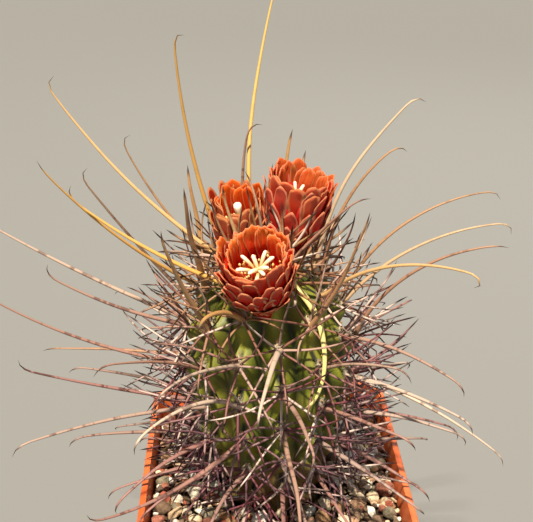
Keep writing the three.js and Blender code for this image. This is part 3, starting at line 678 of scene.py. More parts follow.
class Growth(Enum):
    """The ways in which repeated parts grow, each one Geometry Nodes tree."""

    SWEEP = "tapered_sweep"
    WHORL = "whorl"
    STONES = "stone_bed"
    FELT = "felt"
    RIBBED = "ribbed_body"

    def tree(self) -> bpy.types.NodeTree:
        """Gives the tree, which is built on first use."""
        made = bpy.data.node_groups.get(self.value)
        return made or getattr(self, f"_{self.value}")()

    def _tapered_sweep(self) -> bpy.types.NodeTree:
        """Sweeps an oval along each chain of edges, as thick as the points' thickness attribute says."""
        graph = GrowthGraph(self.value, Int=("Sides",), Float=("Flatness",))
        curve = graph.value("GeometryNodeMeshToCurve", {"Mesh": graph.given["Geometry"]})
        circle = {"Resolution": graph.given["Sides"], "Radius": 1.0}
        oval = graph.value("GeometryNodeCurvePrimitiveCircle", circle)
        stretch = graph.vector(1.0, graph.given["Flatness"], 1.0)
        section = graph.value("GeometryNodeTransform", {"Geometry": oval, "Scale": stretch})
        return graph.end(graph.sweep(curve, section, graph.named("thickness")), smooth=True)

    def _whorl(self) -> bpy.types.NodeTree:
        """Sets copies of a part round the Z axis, each a little leant, turned and sized by chance."""
        strays = ("Lean Stray", "Turn Stray", "Size Stray")
        graph = GrowthGraph(self.value, Int=("Count", "Seed"), Float=("Start", "Lean", *strays))
        given, index = graph.given, graph.value("GeometryNodeInputIndex")
        even = index * (math.tau / given["Count"]) + given["Start"]
        lean, turn, size = (
            graph.random(given[label] * -1.0, given[label], given["Seed"] + float(number), index)
            for number, label in enumerate(strays)
        )
        places = graph.value("GeometryNodePoints", {"Count": given["Count"]})
        euler = graph.vector(given["Lean"] + lean, 0.0, even + turn)
        copies = graph.copies(places, given["Geometry"], euler, size + 1.0)
        tint = graph.random(0.0, 1.0, given["Seed"], index)
        solid = graph.real(graph.store(copies, "tint", tint, "INSTANCE"))
        return graph.end(graph.store(solid, "outside", 1.0 - graph.named("shell")), smooth=False)

    def _stone_bed(self) -> bpy.types.NodeTree:
        """Sets a stone of the given kinds on each point, turned by chance, as big as the point says."""
        graph = GrowthGraph(self.value, Collection=("Kinds",), Int=("Seed",))
        seed = graph.given["Seed"]
        children = {"Collection": graph.given["Kinds"], "Separate Children": True, "Reset Children": True}
        kinds = graph.value("GeometryNodeCollectionInfo", children)
        spin = graph.random((-0.5, -0.5, 0.0), (0.5, 0.5, math.tau), seed)
        squash = graph.random((0.85, 0.7, 0.6), (1.2, 1.0, 0.85), seed)
        squashed = {0: squash, "Scale": graph.named("radius")}
        size = graph.value("ShaderNodeVectorMath", squashed, operation="SCALE")
        stones = graph.copies(graph.given["Geometry"], kinds, spin, size, **{"Pick Instance": True})
        return graph.end(stones, smooth=False)

    def _felt(self) -> bpy.types.NodeTree:
        """Grows short bent hairs all over a pad and keeps the pad under them."""
        graph = GrowthGraph(self.value, Int=("Seed",), Float=("Density", "Shortest", "Longest", "Thickness"))
        given = graph.given
        spread = {"Mesh": given["Geometry"], "Density": given["Density"], "Seed": given["Seed"]}
        roots = graph.add("GeometryNodeDistributePointsOnFaces", spread)
        bend = {
            "Resolution": 3, "Start": (0.0, 0.0, -0.2), "Middle": (0.0, 0.0, 0.55), "End": (0.45, 0.0, 1.0),
        }
        hair = graph.value("GeometryNodeCurveQuadraticBezier", bend)
        stray = graph.random((-0.5, -0.5, 0.0), (0.5, 0.5, math.tau), given["Seed"])
        turn = {"Rotation": roots.outputs["Rotation"], "Rotate By": stray}
        turned = graph.value("FunctionNodeRotateRotation", turn, rotation_space="LOCAL")
        length = graph.random(given["Shortest"], given["Longest"], given["Seed"])
        hairs = graph.copies(roots, hair, turned, length)
        loose = graph.real(graph.store(hairs, "tint", graph.random(0.0, 1.0, given["Seed"]), "INSTANCE"))
        share = graph.value("GeometryNodeSplineParameter", output="Factor")
        width = share.remap((0, 1), (1, 0.3)) * given["Thickness"]
        section = graph.value("GeometryNodeCurvePrimitiveCircle", {"Resolution": 3, "Radius": 1.0})
        together = graph.add("GeometryNodeJoinGeometry")
        for geometry in (graph.sweep(loose, section, width), given["Geometry"]):
            graph.feed(together, {0: geometry})
        return graph.end(together, smooth=True)

    def _ribbed_body(self) -> bpy.types.NodeTree:
        """Wraps a grid round a profile and raises it into ribs with a tubercle under each areole.

        The grid's X runs once round the body, from the crest of rib 0. Its Y runs down the profile.
        """
        lengths = (
            "Length", "Rib Depth", "Rib Fade", "Tubercle Rise", "Pitch", "First Areole", "Groove Depth",
        )
        shares = ("First Rib", "Furrow Power", "Swell Shift", "Lean", "Least Share")
        graph = GrowthGraph(
            self.value,
            Object=("Profile",),
            Int=("Columns", "Rings", "Ribs", "Stagger"),
            Float=(*lengths, *shares, "Base", "Unevenness"),
        )
        given, ribs = graph.given, graph.given["Ribs"]
        size = {
            "Size X": 1.0, "Size Y": 1.0, "Vertices X": given["Columns"] + 1.0, "Vertices Y": given["Rings"],
        }
        grid = graph.value("GeometryNodeMeshGrid", size, "Mesh")
        grid_x, grid_y, _ = graph.value("GeometryNodeInputPosition").parts()
        turn = grid_x + 0.5
        arc = (0.5 - grid_y) * given["Length"]
        profile = graph.value("GeometryNodeObjectInfo", {"Object": given["Profile"]}, "Geometry")
        outline = {"Curves": graph.value("GeometryNodeMeshToCurve", {"Mesh": profile}), "Length": arc}
        sample = {"mode": "LENGTH", "use_all_curves": False}
        full, _, height = graph.value("GeometryNodeSampleCurve", outline, "Position", **sample).parts()

        turns = turn * ribs
        rib = graph.math("ROUND", turns)
        across = graph.math("ABSOLUTE", turns - rib) * 2.0
        own = (arc - given["First Areole"]) / given["Pitch"] - rib * given["Stagger"] % ribs / ribs
        wave = graph.math("COSINE", (own - given["Swell Shift"]) * math.tau)
        crest = wave.remap((-1, 1), (1, 0)) * (1.0 - across**2.0) * given["Tubercle Rise"]
        cut = across ** given["Furrow Power"] * given["Rib Depth"] + crest
        fade = arc.remap((0, given["Rib Fade"]), (0, 1))
        below = graph.math("FRACT", own)
        long_enough = below.remap((0.6, 0.72), (0, 1)) * below.remap((0.9, 0.98), (1, 0))
        in_groove = long_enough * across.remap((0.08, 0.22), (1, 0), smooth=True)
        drop = (in_groove * given["Groove Depth"] + cut) * fade
        radius = graph.math("MAXIMUM", full - drop, full * given["Least Share"])
        heading = turn * math.tau + given["First Rib"]
        x = radius * graph.math("SINE", heading) + height * given["Lean"]
        y = radius * graph.math("COSINE", heading) * -1.0
        point = graph.vector(x, y, height + given["Base"])

        body = grid
        # The furrow mark places the skin's painted shade in the furrows, and the groove mark its dark
        # grooves.
        marks = {"furrow": across * fade, "arc": arc * (1 / MM), "groove": in_groove * fade}
        for name, mark in marks.items():
            body = graph.store(body, name, mark)
        wrapped = graph.value("GeometryNodeSetPosition", {"Geometry": body, "Position": point})
        closed = graph.value("GeometryNodeMergeByDistance", {"Geometry": wrapped, "Distance": 0.02 * MM})
        lumps = graph.value("ShaderNodeTexNoise", {"Scale": 1 / (9 * MM), "Detail": 2.0}, "Fac")
        push = lumps.remap((0, 1), (-1, 1)) * given["Unevenness"]
        normal = graph.value("GeometryNodeInputNormal")
        offset = graph.value("ShaderNodeVectorMath", {0: normal, "Scale": push}, operation="SCALE")
        moved = graph.value("GeometryNodeSetPosition", {"Geometry": closed, "Offset": offset})
        return graph.end(moved, smooth=True)


# The plant's form, by the same rules as its solids.


class Draw(IntEnum):
    """Which draw of chance each varied size takes."""

    HEADING = 1
    RISE = 2
    ROLL = 3
    REACH = 4
    BOW = 5
    HOOK = 6
    CLOCK = 10
    SPREAD = 20
    RADIAL_REACH = 40
    STONE_X = 60
    STONE_Y = 61
    STONE_RISE = 62
    PEBBLE_SIDE = 70
    PEBBLE_DEPTH = 73
    CHIP_POINT = 74
    CHIP_REACH = 77
    RADIAL_BOW = 80
    RADIAL_ROLL = 90
    TINT = 100
    PAD = 110
    GLAND = 112


@dataclass(frozen=True)
class Areole:
    """A place that bears spines, with the directions out of the stem, up the rib and across it."""

    rib: int
    row: int
    heading: float
    arc: float
    at: np.ndarray
    up: np.ndarray
    across: np.ndarray
    out: np.ndarray
    oldest_arc: float = 75.0

    def on_clock(self, clock: float, radius: float, lift: float) -> np.ndarray:
        """Gives a point on the areole's clock face, by degrees from the way up the rib, and off it."""
        c = math.radians(clock)
        return self.at + self.out * lift + radius * (self.up * math.cos(c) + self.across * math.sin(c))

    def between(self, low: float, high: float, draw: int) -> float:
        """Gives the areole's own value from low to high."""
        return between(low, high, self.rib, self.row, draw)

    @property
    def age(self) -> float:
        """From 0 for the youngest, at the crown, to 1 at the foot."""
        return min(self.arc / self.oldest_arc, 1.0)


@dataclass(frozen=True)
class StemForm:
    """The ribbed, ovoid stem."""

    height: float = 94.0
    buried: float = 10.0
    girth_at: float = 54.0
    girth: float = 31.0
    neck: float = 21.5
    dome_power: float = 2.6
    lean: float = -0.035
    ribs: int = 13
    stagger_step: int = 8
    first_rib: float = 6.0
    rib_depth: float = 5.6
    furrow_power: float = 1.7
    rib_fade: float = 14.0
    tubercle_rise: float = 4.2
    swell_shift: float = 0.12
    least_share: float = 0.35
    areole_pitch: float = 15.5
    first_areole: float = 5.5
    last_areole: float = 5.0
    meridian_steps: int = 400

    def crest_radius(self, z: float) -> float:
        """Gives the radius over the ribs at a height above the grit."""
        if z < self.girth_at:
            t = max(z, -self.buried) / self.girth_at
            return self.neck + (self.girth - self.neck) * math.sin(math.pi / 2 * t)
        q = min((z - self.girth_at) / (self.height - self.girth_at), 1)
        return self.girth * math.sqrt(max(1 - q**self.dome_power, 0))

    @cached_property
    def meridian(self) -> np.ndarray:
        """Rows of arc length, height and crest radius, from the crown down to the grit."""
        rows = [(0.0, self.height, 0.0)]
        for i in range(1, self.meridian_steps + 1):
            z = self.height * (1 - (i / self.meridian_steps) ** 2)
            r = self.crest_radius(z)
            s, last_z, last_r = rows[-1]
            rows.append((s + math.hypot(r - last_r, z - last_z), z, r))
        return np.array(rows)

    @property
    def arc_length(self) -> float:
        """Arc length from the crown to the grit."""
        return float(self.meridian[-1, 0])

    def height_at(self, s: float) -> float:
        """Gives the height above the grit at an arc length from the crown."""
        if s >= self.arc_length:
            return self.arc_length - s
        return float(np.interp(s, self.meridian[:, 0], self.meridian[:, 1]))

    def heading(self, rib: int) -> float:
        """Gives the way that a rib faces."""
        return self.first_rib + rib * 360 / self.ribs

    def stagger(self, rib: int) -> float:
        """Gives how far a rib's areoles lie below those of rib 0, as a share of their pitch."""
        return (self.stagger_step * rib % self.ribs) / self.ribs

    def areole_arc(self, rib: int, row: int) -> float:
        """Gives the arc length from the crown to an areole."""
        return self.first_areole + (row + self.stagger(rib)) * self.areole_pitch

    def crest_point(self, rib: int, s: float) -> np.ndarray:
        """Gives a point on a rib's crest at an arc length from the crown."""
        z = self.height_at(s)
        phase = (s - self.first_areole) / self.areole_pitch - self.stagger(rib)
        swell = 0.5 + 0.5 * math.cos(math.tau * (phase - self.swell_shift))
        full = self.crest_radius(z)
        fade = min(1, s / self.rib_fade)
        r = max(full + fade * self.tubercle_rise * (swell - 1), self.least_share * full)
        return np.array([self.lean * z, 0, SOIL + z]) + aim(self.heading(rib), 0) * r

    def areole(self, rib: int, row: int) -> Areole:
        """Gives an areole by its rib and its row from the crown."""
        s, heading = self.areole_arc(rib, row), self.heading(rib)
        above, below = self.height_at(s - 1), self.height_at(s + 1)
        slope = unit(np.array([self.crest_radius(above) - self.crest_radius(below), above - below]))
        up = aim(heading, 0) * slope[0] + np.array([0, 0, slope[1]])
        across = aim(heading + 90, 0)
        return Areole(rib, row, heading, s, self.crest_point(rib, s), up, across, np.cross(across, up))

    def areoles(self) -> Iterable[Areole]:
        """Gives every areole, rib by rib from the crown down."""
        for rib in range(self.ribs):
            row = 0
            while self.areole_arc(rib, row) < self.arc_length - self.last_areole:
                yield self.areole(rib, row)
                row += 1


class Stigma(Enum):
    """How far a stigma's lobes have opened: lobe count, reach, rise, thickness and stray."""

    OPEN = (9, 4.9, 3.8, 0.64, 1)
    HALF = (7, 3.2, 4.6, 0.54, 1)
    CLOSED = (7, 0.4, 4.2, 0.66, 0)


@dataclass(frozen=True)
class BloomForm:
    """One bloom: its foot on the stem, the way that it faces, and its cup."""

    name: str
    foot: Point
    heading: float
    rise: float
    length: float
    tip: float
    stigma: Stigma
    near: float
    belly_share: float
    belly_at: float
    nod: float = 0.0
    neck_share: float = 0.72
    foot_radius: float = 4.4
    foot_power: float = 1.1
    mouth_power: float = 1.5
    flare: float = 1.1
    wide_waves: float = 4.0
    fine_waves: float = 1.4
    fine_share: float = 0.22

    @cached_property
    def axis(self) -> np.ndarray:
        """The way that the bloom faces."""
        return aim(self.heading, self.rise)

    @property
    def turn(self) -> Matrix:
        """The turn that lays the bloom, made upright, along its axis."""
        return Vector((0, 0, 1)).rotation_difference(Vector(self.axis)).to_matrix()

    @property
    def front(self) -> np.ndarray:
        """The way to the plant's front, level across the bloom made upright."""
        toward = self.turn.transposed() @ Vector((0, -1, 0))
        return np.array([toward.x, toward.y]) / math.hypot(toward.x, toward.y)

    def set_in(self, mesh: bpy.types.Mesh, ruffle: float) -> None:
        """Gives a mesh made upright at the origin an uneven mouth and a ruffle, and sets it in place."""
        count = len(mesh.vertices)
        flat = np.empty(count * 3)
        mesh.vertices.foreach_get("co", flat)
        points = flat.reshape(count, 3)
        points[:, 2] *= 1 + self.near * (1 + points[:, :2] @ self.front / (self.tip * MM)) / 2
        if ruffle:
            wide = np.array([noise.noise_vector(Vector(p) / (self.wide_waves * MM)) for p in points])
            fine = np.array([noise.noise_vector(Vector(p) / (self.fine_waves * MM)) for p in points])
            height = np.clip(points[:, 2:] / (self.length * MM), 0, 1)
            points += (wide + self.fine_share * fine) * ruffle * MM * height
        mesh.vertices.foreach_set("co", points.ravel())
        mesh.transform(Matrix.Translation(Vector(self.foot) * MM) @ self.turn.to_4x4())

    def radius(self, share: np.ndarray) -> np.ndarray:
        """Gives the cup's radius at shares of its length."""
        belly = self.belly_share * self.tip
        share = np.asarray(share, dtype=float)
        low_share = (np.clip(share, 0, None) / self.belly_at) ** self.foot_power
        low = self.foot_radius + (belly - self.foot_radius) * low_share
        high_share = np.clip((share - self.belly_at) / (1 - self.belly_at), 0, None)
        high = belly + (self.tip - belly) * high_share**self.mouth_power
        return np.where(share < self.belly_at, low, high)

    def shove(self, points: np.ndarray, clearance: float) -> tuple[np.ndarray, np.ndarray]:
        """Says which points lie within a clearance of the bloom, and gives the unit vectors out of it."""
        away = points - np.array(self.foot)
        along = away @ self.axis
        side = away - np.outer(along, self.axis)
        distance = np.linalg.norm(side, axis=1)
        room = self.radius(np.clip(along / self.length, 0, 1)) + self.flare + clearance
        hit = (along >= -2) & (along <= self.length + clearance) & (distance < room)
        return hit, side / np.maximum(distance, 1e-9)[:, None]


BLOOMS = (
    BloomForm(
        "front", (-4.2, -18.2, SOIL + 86.5), -20, 70, 25.5, 10.8, Stigma.OPEN, -0.05, 0.92, 0.42,
        nod=18, neck_share=0.67,
    ),
    BloomForm("left", (-9, 3.4, SOIL + 89), -112, 81, 30, 8, Stigma.CLOSED, -0.27, 1, 0.5, neck_share=0.79),
    BloomForm("right", (4.2, 8, SOIL + 89), 66, 80, 33.5, 10.4, Stigma.HALF, 0, 0.9, 0.5),
)


@dataclass(frozen=True)
class Spine:
    """A spine whose straight line to the start of its hook lies along a direction."""

    root: np.ndarray
    direction: np.ndarray
    roll: float
    reach: float
    bow: float = 0.0
    hook: float = 0.0
    hook_length: float = 0.01
    age: float = 0.8
    steps: int = 80

    @property
    def length(self) -> float:
        """Its whole length."""
        return self.reach + self.hook_length

    def path(self, shares: np.ndarray) -> np.ndarray:
        """Gives points of the spine at shares of its length."""
        down = unit(np.array([0, 0, -1.0]) + self.direction * self.direction[2])
        side = np.cross(self.direction, down)
        roll = math.radians(self.roll)
        bend = down * math.cos(roll) + side * math.sin(roll)
        start = self.reach / self.length
        t = (np.arange(self.steps) + 0.5) / self.steps
        h = np.clip((t - start) / (1 - start), 0, None)
        angle = np.radians(self.bow * t + self.hook * h * h)
        u = np.concatenate([[0], np.cumsum(np.cos(angle))]) * self.length / self.steps
        v = np.concatenate([[0], np.cumsum(np.sin(angle))]) * self.length / self.steps
        k = int(start * self.steps + 0.5)
        chord = math.atan2(v[k], u[k])
        turned_u = u * math.cos(chord) + v * math.sin(chord)
        turned_v = v * math.cos(chord) - u * math.sin(chord)
        grid = np.arange(self.steps + 1) / self.steps
        pu, pv = np.interp(shares, grid, turned_u), np.interp(shares, grid, turned_v)
        return self.root + np.outer(pu, self.direction) + np.outer(pv, bend)


@dataclass(frozen=True)
class LongSpine:
    """A long central spine that stands clear of the tangle, one to an areole."""

    rib: int
    row: int
    heading: float
    rise: float
    reach: float
    roll: float
    bow: float
    hook: float
    age: float


LONG_SPINES = (
    LongSpine(9, 0, -100, 45, 80, 180, 25, 110, 0.22),
    LongSpine(11, 0, -95, 30, 55, 180, 20, 90, 0.2),
    LongSpine(9, 1, -70, 45, 65, 180, 20, 15, 0.32),
    LongSpine(8, 0, -125, 75, 75, 180, 25, 120, 0.34),
    LongSpine(7, 0, 170, 60, 90, -80, 25, 60, 0.2),
    LongSpine(7, 1, 150, 85, 45, -60, 15, 110, 0.75),
    LongSpine(3, 0, 105, 70, 65, 0, 45, 95, 0.42),
    LongSpine(4, 1, 100, 65, 50, 0, 60, 90, 0.6),
    LongSpine(4, 2, 95, 40, 70, 0, 75, 75, 0.62),
    LongSpine(3, 1, 90, 30, 60, 0, 55, 110, 0.48),
    LongSpine(3, 2, 75, 45, 60, 0, 65, 20, 0.7),
    LongSpine(2, 1, 55, 25, 55, 0, 60, 180, 0.36),
    LongSpine(9, 2, -100, 25, 75, 180, 10, 70, 0.75),
    LongSpine(10, 2, -85, 25, 45, 180, 20, 85, 0.8),
    LongSpine(10, 3, -85, 25, 65, 180, 25, 80, 0.78),
    LongSpine(9, 3, -90, 5, 45, 0, 5, 30, 0.66),
    LongSpine(9, 4, -90, 15, 40, 0, 10, 70, 0.85),
    LongSpine(10, 4, -80, 20, 55, 180, 10, 75, 0.95),
    LongSpine(11, 3, -60, 10, 60, 0, 20, 75, 0.82),
    LongSpine(10, 5, -75, 10, 40, 0, 15, 75, 0.9),
    LongSpine(12, 3, -40, 20, 45, 0, 65, 90, 0.72),
    LongSpine(12, 4, -50, 0, 55, 180, 40, 60, 0.85),
    LongSpine(2, 2, 50, 0, 40, 0, 35, 80, 0.82),
    LongSpine(3, 3, 60, -15, 55, 0, 30, 60, 0.7),
    LongSpine(2, 5, 55, -10, 30, 0, 15, 60, 0.9),
    LongSpine(0, 2, -10, 10, 40, 0, 30, 90, 0.7),
    LongSpine(0, 4, 5, -5, 45, 0, 20, 60, 0.78),
    LongSpine(12, 1, -35, 30, 20, 0, 45, 80, 0.5),
    LongSpine(1, 0, 20, -50, 40, -60, 90, 50, 0.04),
    LongSpine(0, 0, -115, 80, 25, 0, 10, 20, 0.7),
    LongSpine(12, 0, -105, 70, 25, 180, 10, 15, 0.5),
    LongSpine(2, 0, 75, 50, 30, 0, 15, 40, 0.75),
    LongSpine(6, 0, 145, 70, 35, 0, 5, 10, 0.5),
    LongSpine(5, 1, 165, 70, 30, 0, 10, 15, 0.6),
    LongSpine(8, 1, -150, 70, 35, 180, 5, 10, 0.55),
    LongSpine(10, 1, -25, 70, 35, 180, 10, 20, 0.6),
    LongSpine(1, 1, 55, 65, 40, 180, 15, 15, 0.6),
    LongSpine(11, 1, -50, 65, 35, 180, 10, 25, 0.58),
    LongSpine(8, 2, -100, 50, 65, 180, 10, 110, 0.7),
    LongSpine(7, 2, -105, 50, 65, 180, 30, 110, 0.6),
)

# Radial spines: place on the areole's clock, spread out of the rib, length.
RADIALS = (
    (8, 42, 25), (48, 34, 29), (84, 27, 27), (132, 25, 24),
    (178, 30, 22), (228, 25, 24), (276, 27, 27), (312, 34, 29),
)
HOOKED_RADIALS = (3, 4, 5)


@dataclass
class SpineRoom:
    """The room that spines take, as points a millimetre apart along them, sorted into cubic cells."""

    apart: float = 1.5

    def __post_init__(self) -> None:
        """Starts with no room taken."""
        self.cell = 2 * self.apart
        self.cells: dict[tuple[int, int, int], list[tuple[np.ndarray, int]]] = {}

    @staticmethod
    def points_along(spine: Spine) -> np.ndarray:
        """Gives points a millimetre apart, past the spine's foot."""
        count = math.ceil(spine.length)
        return spine.path(np.arange(1, count + 1) / count)[2:]

    def claim(self, spine: Spine, owner: int) -> None:
        """Takes a spine's room for its areole."""
        points = self.points_along(spine)
        for point, key in zip(points, map(tuple, np.floor(points / self.cell).astype(int))):
            self.cells.setdefault(key, []).append((point, owner))

    def is_taken(self, spine: Spine, owner: int) -> bool:
        """Says whether a spine would come too close to one of another areole."""
        points = self.points_along(spine)
        steps = (-1, 0, 1)
        for point, (i, j, k) in zip(points, np.floor(points / self.cell).astype(int).tolist()):
            for key in ((i + a, j + b, k + c) for a in steps for b in steps for c in steps):
                for other, other_owner in self.cells.get(key, ()):
                    if other_owner != owner and np.linalg.norm(other - point) < self.apart:
                        return True
        return False


@dataclass(frozen=True)
class Cluster:
    """The spines of one areole."""

    areole: Areole
    central: Spine | None
    radials: tuple[Spine, ...]


@dataclass(frozen=True)
class SpineGrowth:
    """Grows every areole's spines: long ones first, then the other centrals, then the radials."""

    stem: StemForm
    blooms: tuple[BloomForm, ...]
    pad_radius: float = 1.75
    pad_rise: float = 0.9
    hook_length: float = 9.0
    radial_hook_length: float = 5.0
    elbow: float = 0.62
    over_grit: float = 4.0
    over_rim: float = 1.5
    rim_inside: float = 6.0
    rim_outside: float = 2.5
    steer_step: float = 0.06
    steer_tries: int = 40
    nudges: tuple[int, ...] = (0, 7, -7, 14, -14)

    def is_free(self, areole: Areole) -> bool:
        """Says whether an areole stands clear of every bloom's foot."""
        return all(
            np.linalg.norm(areole.at - np.array(bloom.foot))
            > bloom.foot_radius + self.pad_radius + self.elbow
            for bloom in self.blooms
        )

    def floor_at(self, points: np.ndarray) -> np.ndarray:
        """Gives the lowest height that a spine may have over the grit and the rim."""
        reach = np.max(np.abs(points[:, :2]), axis=1)
        zones = [reach < RIM_HALF - self.rim_inside, reach < RIM_HALF + self.rim_outside]
        return np.select(zones, [SOIL + self.over_grit, POT_HEIGHT + self.over_rim], 0)

    def steer_clear(self, spine: Spine, clearance: float) -> Spine | None:
        """Turns a spine until it is clear of the grit, the rim and, with room to spare, of the blooms.

        Gives None where no turn makes it clear.
        """
        shares = 0.1 + np.arange(19) / 20
        for _ in range(self.steer_tries):
            points = spine.path(shares)
            pushes = [(points[:, 2] < self.floor_at(points), np.tile([0.0, 0.0, 1.0], (len(points), 1)))]
            pushes += [bloom.shove(points, clearance) for bloom in self.blooms]
            hits = np.array([hit for hit, _ in pushes])
            if not hits.any():
                return spine
            first = int(np.argmax(hits.any(axis=0)))
            which = int(np.argmax(hits[:, first]))
            push = self.steer_step * pushes[which][1][first]
            spine = replace(spine, direction=unit(spine.direction + push))
        return None

    def central(self, areole: Areole, wish: LongSpine) -> Spine:
        """Roots a wished central spine in its areole."""
        root = areole.on_clock(0, 0, self.pad_rise)
        way = aim(wish.heading, wish.rise)
        return Spine(root, way, wish.roll, wish.reach, wish.bow, wish.hook, self.hook_length, wish.age)

    def rule_central(self, areole: Areole, nudge: float) -> LongSpine:
        """Gives the wish for a central spine by rule: high ones rise, low ones are shorter and point down."""
        low = min(areole.row / 5, 1)
        return LongSpine(
            rib=areole.rib,
            row=areole.row,
            heading=areole.heading + areole.between(-16, 16, Draw.HEADING) + nudge,
            rise=46 - 58 * low + areole.between(-9, 9, Draw.RISE) + abs(nudge) / 2,
            reach=areole.between(40, 56, Draw.REACH) - 20 * low,
            roll=areole.between(-45, 45, Draw.ROLL),
            bow=areole.between(15, 40, Draw.BOW),
            hook=areole.between(70, 115, Draw.HOOK),
            age=0.45 + 0.5 * areole.age,
        )

    def radial(self, areole: Areole, index: int, nudge: float) -> Spine:
        """Gives a radial spine by its place on the areole's clock."""
        clock, spread, length = RADIALS[index]
        turned = clock + areole.between(-8, 8, Draw.CLOCK + index) + nudge
        leant = math.radians(spread + areole.between(-8, 8, Draw.SPREAD + index) + abs(nudge) / 2)
        direction = areole.on_clock(turned, math.cos(leant), math.sin(leant)) - areole.at
        reach = length * areole.between(0.8, 1.15, Draw.RADIAL_REACH + index)
        root = areole.on_clock(clock, self.pad_radius * 0.7, 0.3)
        return Spine(root, direction, 0, reach, age=0.55 + 0.45 * areole.age)

    def bent(self, areole: Areole, index: int, spine: Spine) -> Spine:
        """Gives a settled radial its bow, and the lower ones a hook."""
        bow = areole.between(8, 38, Draw.RADIAL_BOW + index)
        roll = areole.between(-180, 180, Draw.RADIAL_ROLL + index)
        if index not in HOOKED_RADIALS:
            return replace(spine, bow=bow, roll=roll)
        hooked = self.radial_hook_length
        straight = spine.reach - hooked
        return replace(spine, bow=bow, roll=roll / 2, reach=straight, hook=105, hook_length=hooked)

    def clusters(self) -> list[Cluster]:
        """Grows the spines of every free areole. A radial that finds no clear way grows straight out."""
        room = SpineRoom()
        areoles = [a for a in self.stem.areoles() if self.is_free(a)]
        wishes = {(wish.rib, wish.row): wish for wish in LONG_SPINES}
        centrals: dict[int, Spine] = {}

        def settled(options: Sequence[Spine], owner: int) -> Spine | None:
            """Takes the first option that finds a clear way."""
            steered = [s for s in (self.steer_clear(option, 1.3) for option in options) if s]
            found = next((s for s in steered if not room.is_taken(s, owner)), None)
            if found:
                room.claim(found, owner)
            return found

        for owner, areole in enumerate(areoles):
            wish = wishes.get((areole.rib, areole.row))
            spine = self.steer_clear(self.central(areole, wish), 1) if wish else None
            if spine:
                centrals[owner] = spine
                room.claim(spine, owner)
        for owner, areole in enumerate(areoles):
            if owner not in centrals:
                options = [self.central(areole, self.rule_central(areole, nudge)) for nudge in self.nudges]
                found = settled(options, owner)
                if found:
                    centrals[owner] = found
        clusters = []
        for owner, areole in enumerate(areoles):
            radials = []
            for index in range(len(RADIALS)):
                options = [self.radial(areole, index, nudge) for nudge in self.nudges]
                found = settled(options, owner) or self.steer_clear(options[0], 0.4)
                if found:
                    radials.append(self.bent(areole, index, found))
            clusters.append(Cluster(areole, centrals.get(owner), tuple(radials)))
        return clusters


# Sub-assemblies.


@dataclass(frozen=True)
class Lamp:
    """A light that faces the plant: a soft square one if it has a size, and else a sun."""

    name: str
    at: Point
    power: float
    colour: str
    size: float = 0.0
    angle: float = 0.0

    def light(self) -> bpy.types.Light:
        """Makes the light."""
        light = bpy.data.lights.new(self.name, "AREA" if self.size else "SUN")
        light.energy, light.color = self.power, linear(self.colour)[:3]
        if self.size:
            light.size = self.size * MM
        else:
            light.angle = math.radians(self.angle)
        return light


@dataclass(frozen=True)
class Studio:
    """A pale floor, soft light and the camera."""

    camera_at: Point = (-12.5, -262.5, 316.9)
    camera_heading: float = 2.14
    camera_drop: float = 26.57
    focal_px: float = 850.0
    sensor: float = 36.0
    clip: tuple[float, float] = (10.0, 20000.0)
    lit: Point = (0.0, 0.0, 150.0)
    lamps: tuple[Lamp, ...] = (
        Lamp("key", (-130, -370, 1080), 6.8, "#fff0d8", angle=2.5),
        Lamp("fill", (700, -700, 500), 1.0, "#eaf2ff", size=900),
        Lamp("back", (300, 700, 700), 2.0, "#fffaf0", size=600),
    )
    sky_colour: str = "#e6ebee"
    sky_strength: float = 0.28
    floor_half: float = 2500.0
    floor_finish: Paint = Paint("floor_paint", 0.8, "#7e8081")

    @staticmethod
    def stand(name: str, data: bpy.types.ID, at: Point, look: Vector) -> Piece:
        """Adds a camera or a light that looks along a direction."""
        holder = bpy.data.objects.new(name, data)
        holder.location = Vector(at) * MM
        holder.rotation_euler = look.to_track_quat("-Z", "Y").to_euler()
        bpy.context.scene.collection.objects.link(holder)
        return holder

    def camera(self) -> None:
        """Adds the camera and makes it the scene's own."""
        data = bpy.data.cameras.new("camera")
        data.sensor_width = self.sensor
        data.lens = self.sensor * self.focal_px / PICTURE_WIDTH_PX
        data.clip_start, data.clip_end = self.clip[0] * MM, self.clip[1] * MM
        look = -Vector(aim(-self.camera_heading, self.camera_drop))
        bpy.context.scene.camera = self.stand("camera", data, self.camera_at, look)

    def build(self) -> None:
        """Builds the floor, the lights and the camera."""
        half = self.floor_half
        corners = [(-half, -half, 0), (half, -half, 0), (half, half, 0), (-half, half, 0)]
        floor = mesh_piece("floor", corners, [(0, 1, 2, 3)])
        floor.data.materials.append(self.floor_finish.material())
        for lamp in self.lamps:
            self.stand(lamp.name, lamp.light(), lamp.at, Vector(self.lit) - Vector(lamp.at))
        world = bpy.data.worlds.new("studio")
        world.use_nodes = True
        backdrop = world.node_tree.nodes["Background"].inputs
        backdrop["Color"].default_value = linear(self.sky_colour)
        backdrop["Strength"].default_value = self.sky_strength
        bpy.context.scene.world = world
        bpy.context.scene.view_settings.view_transform = "Standard"
        self.camera()


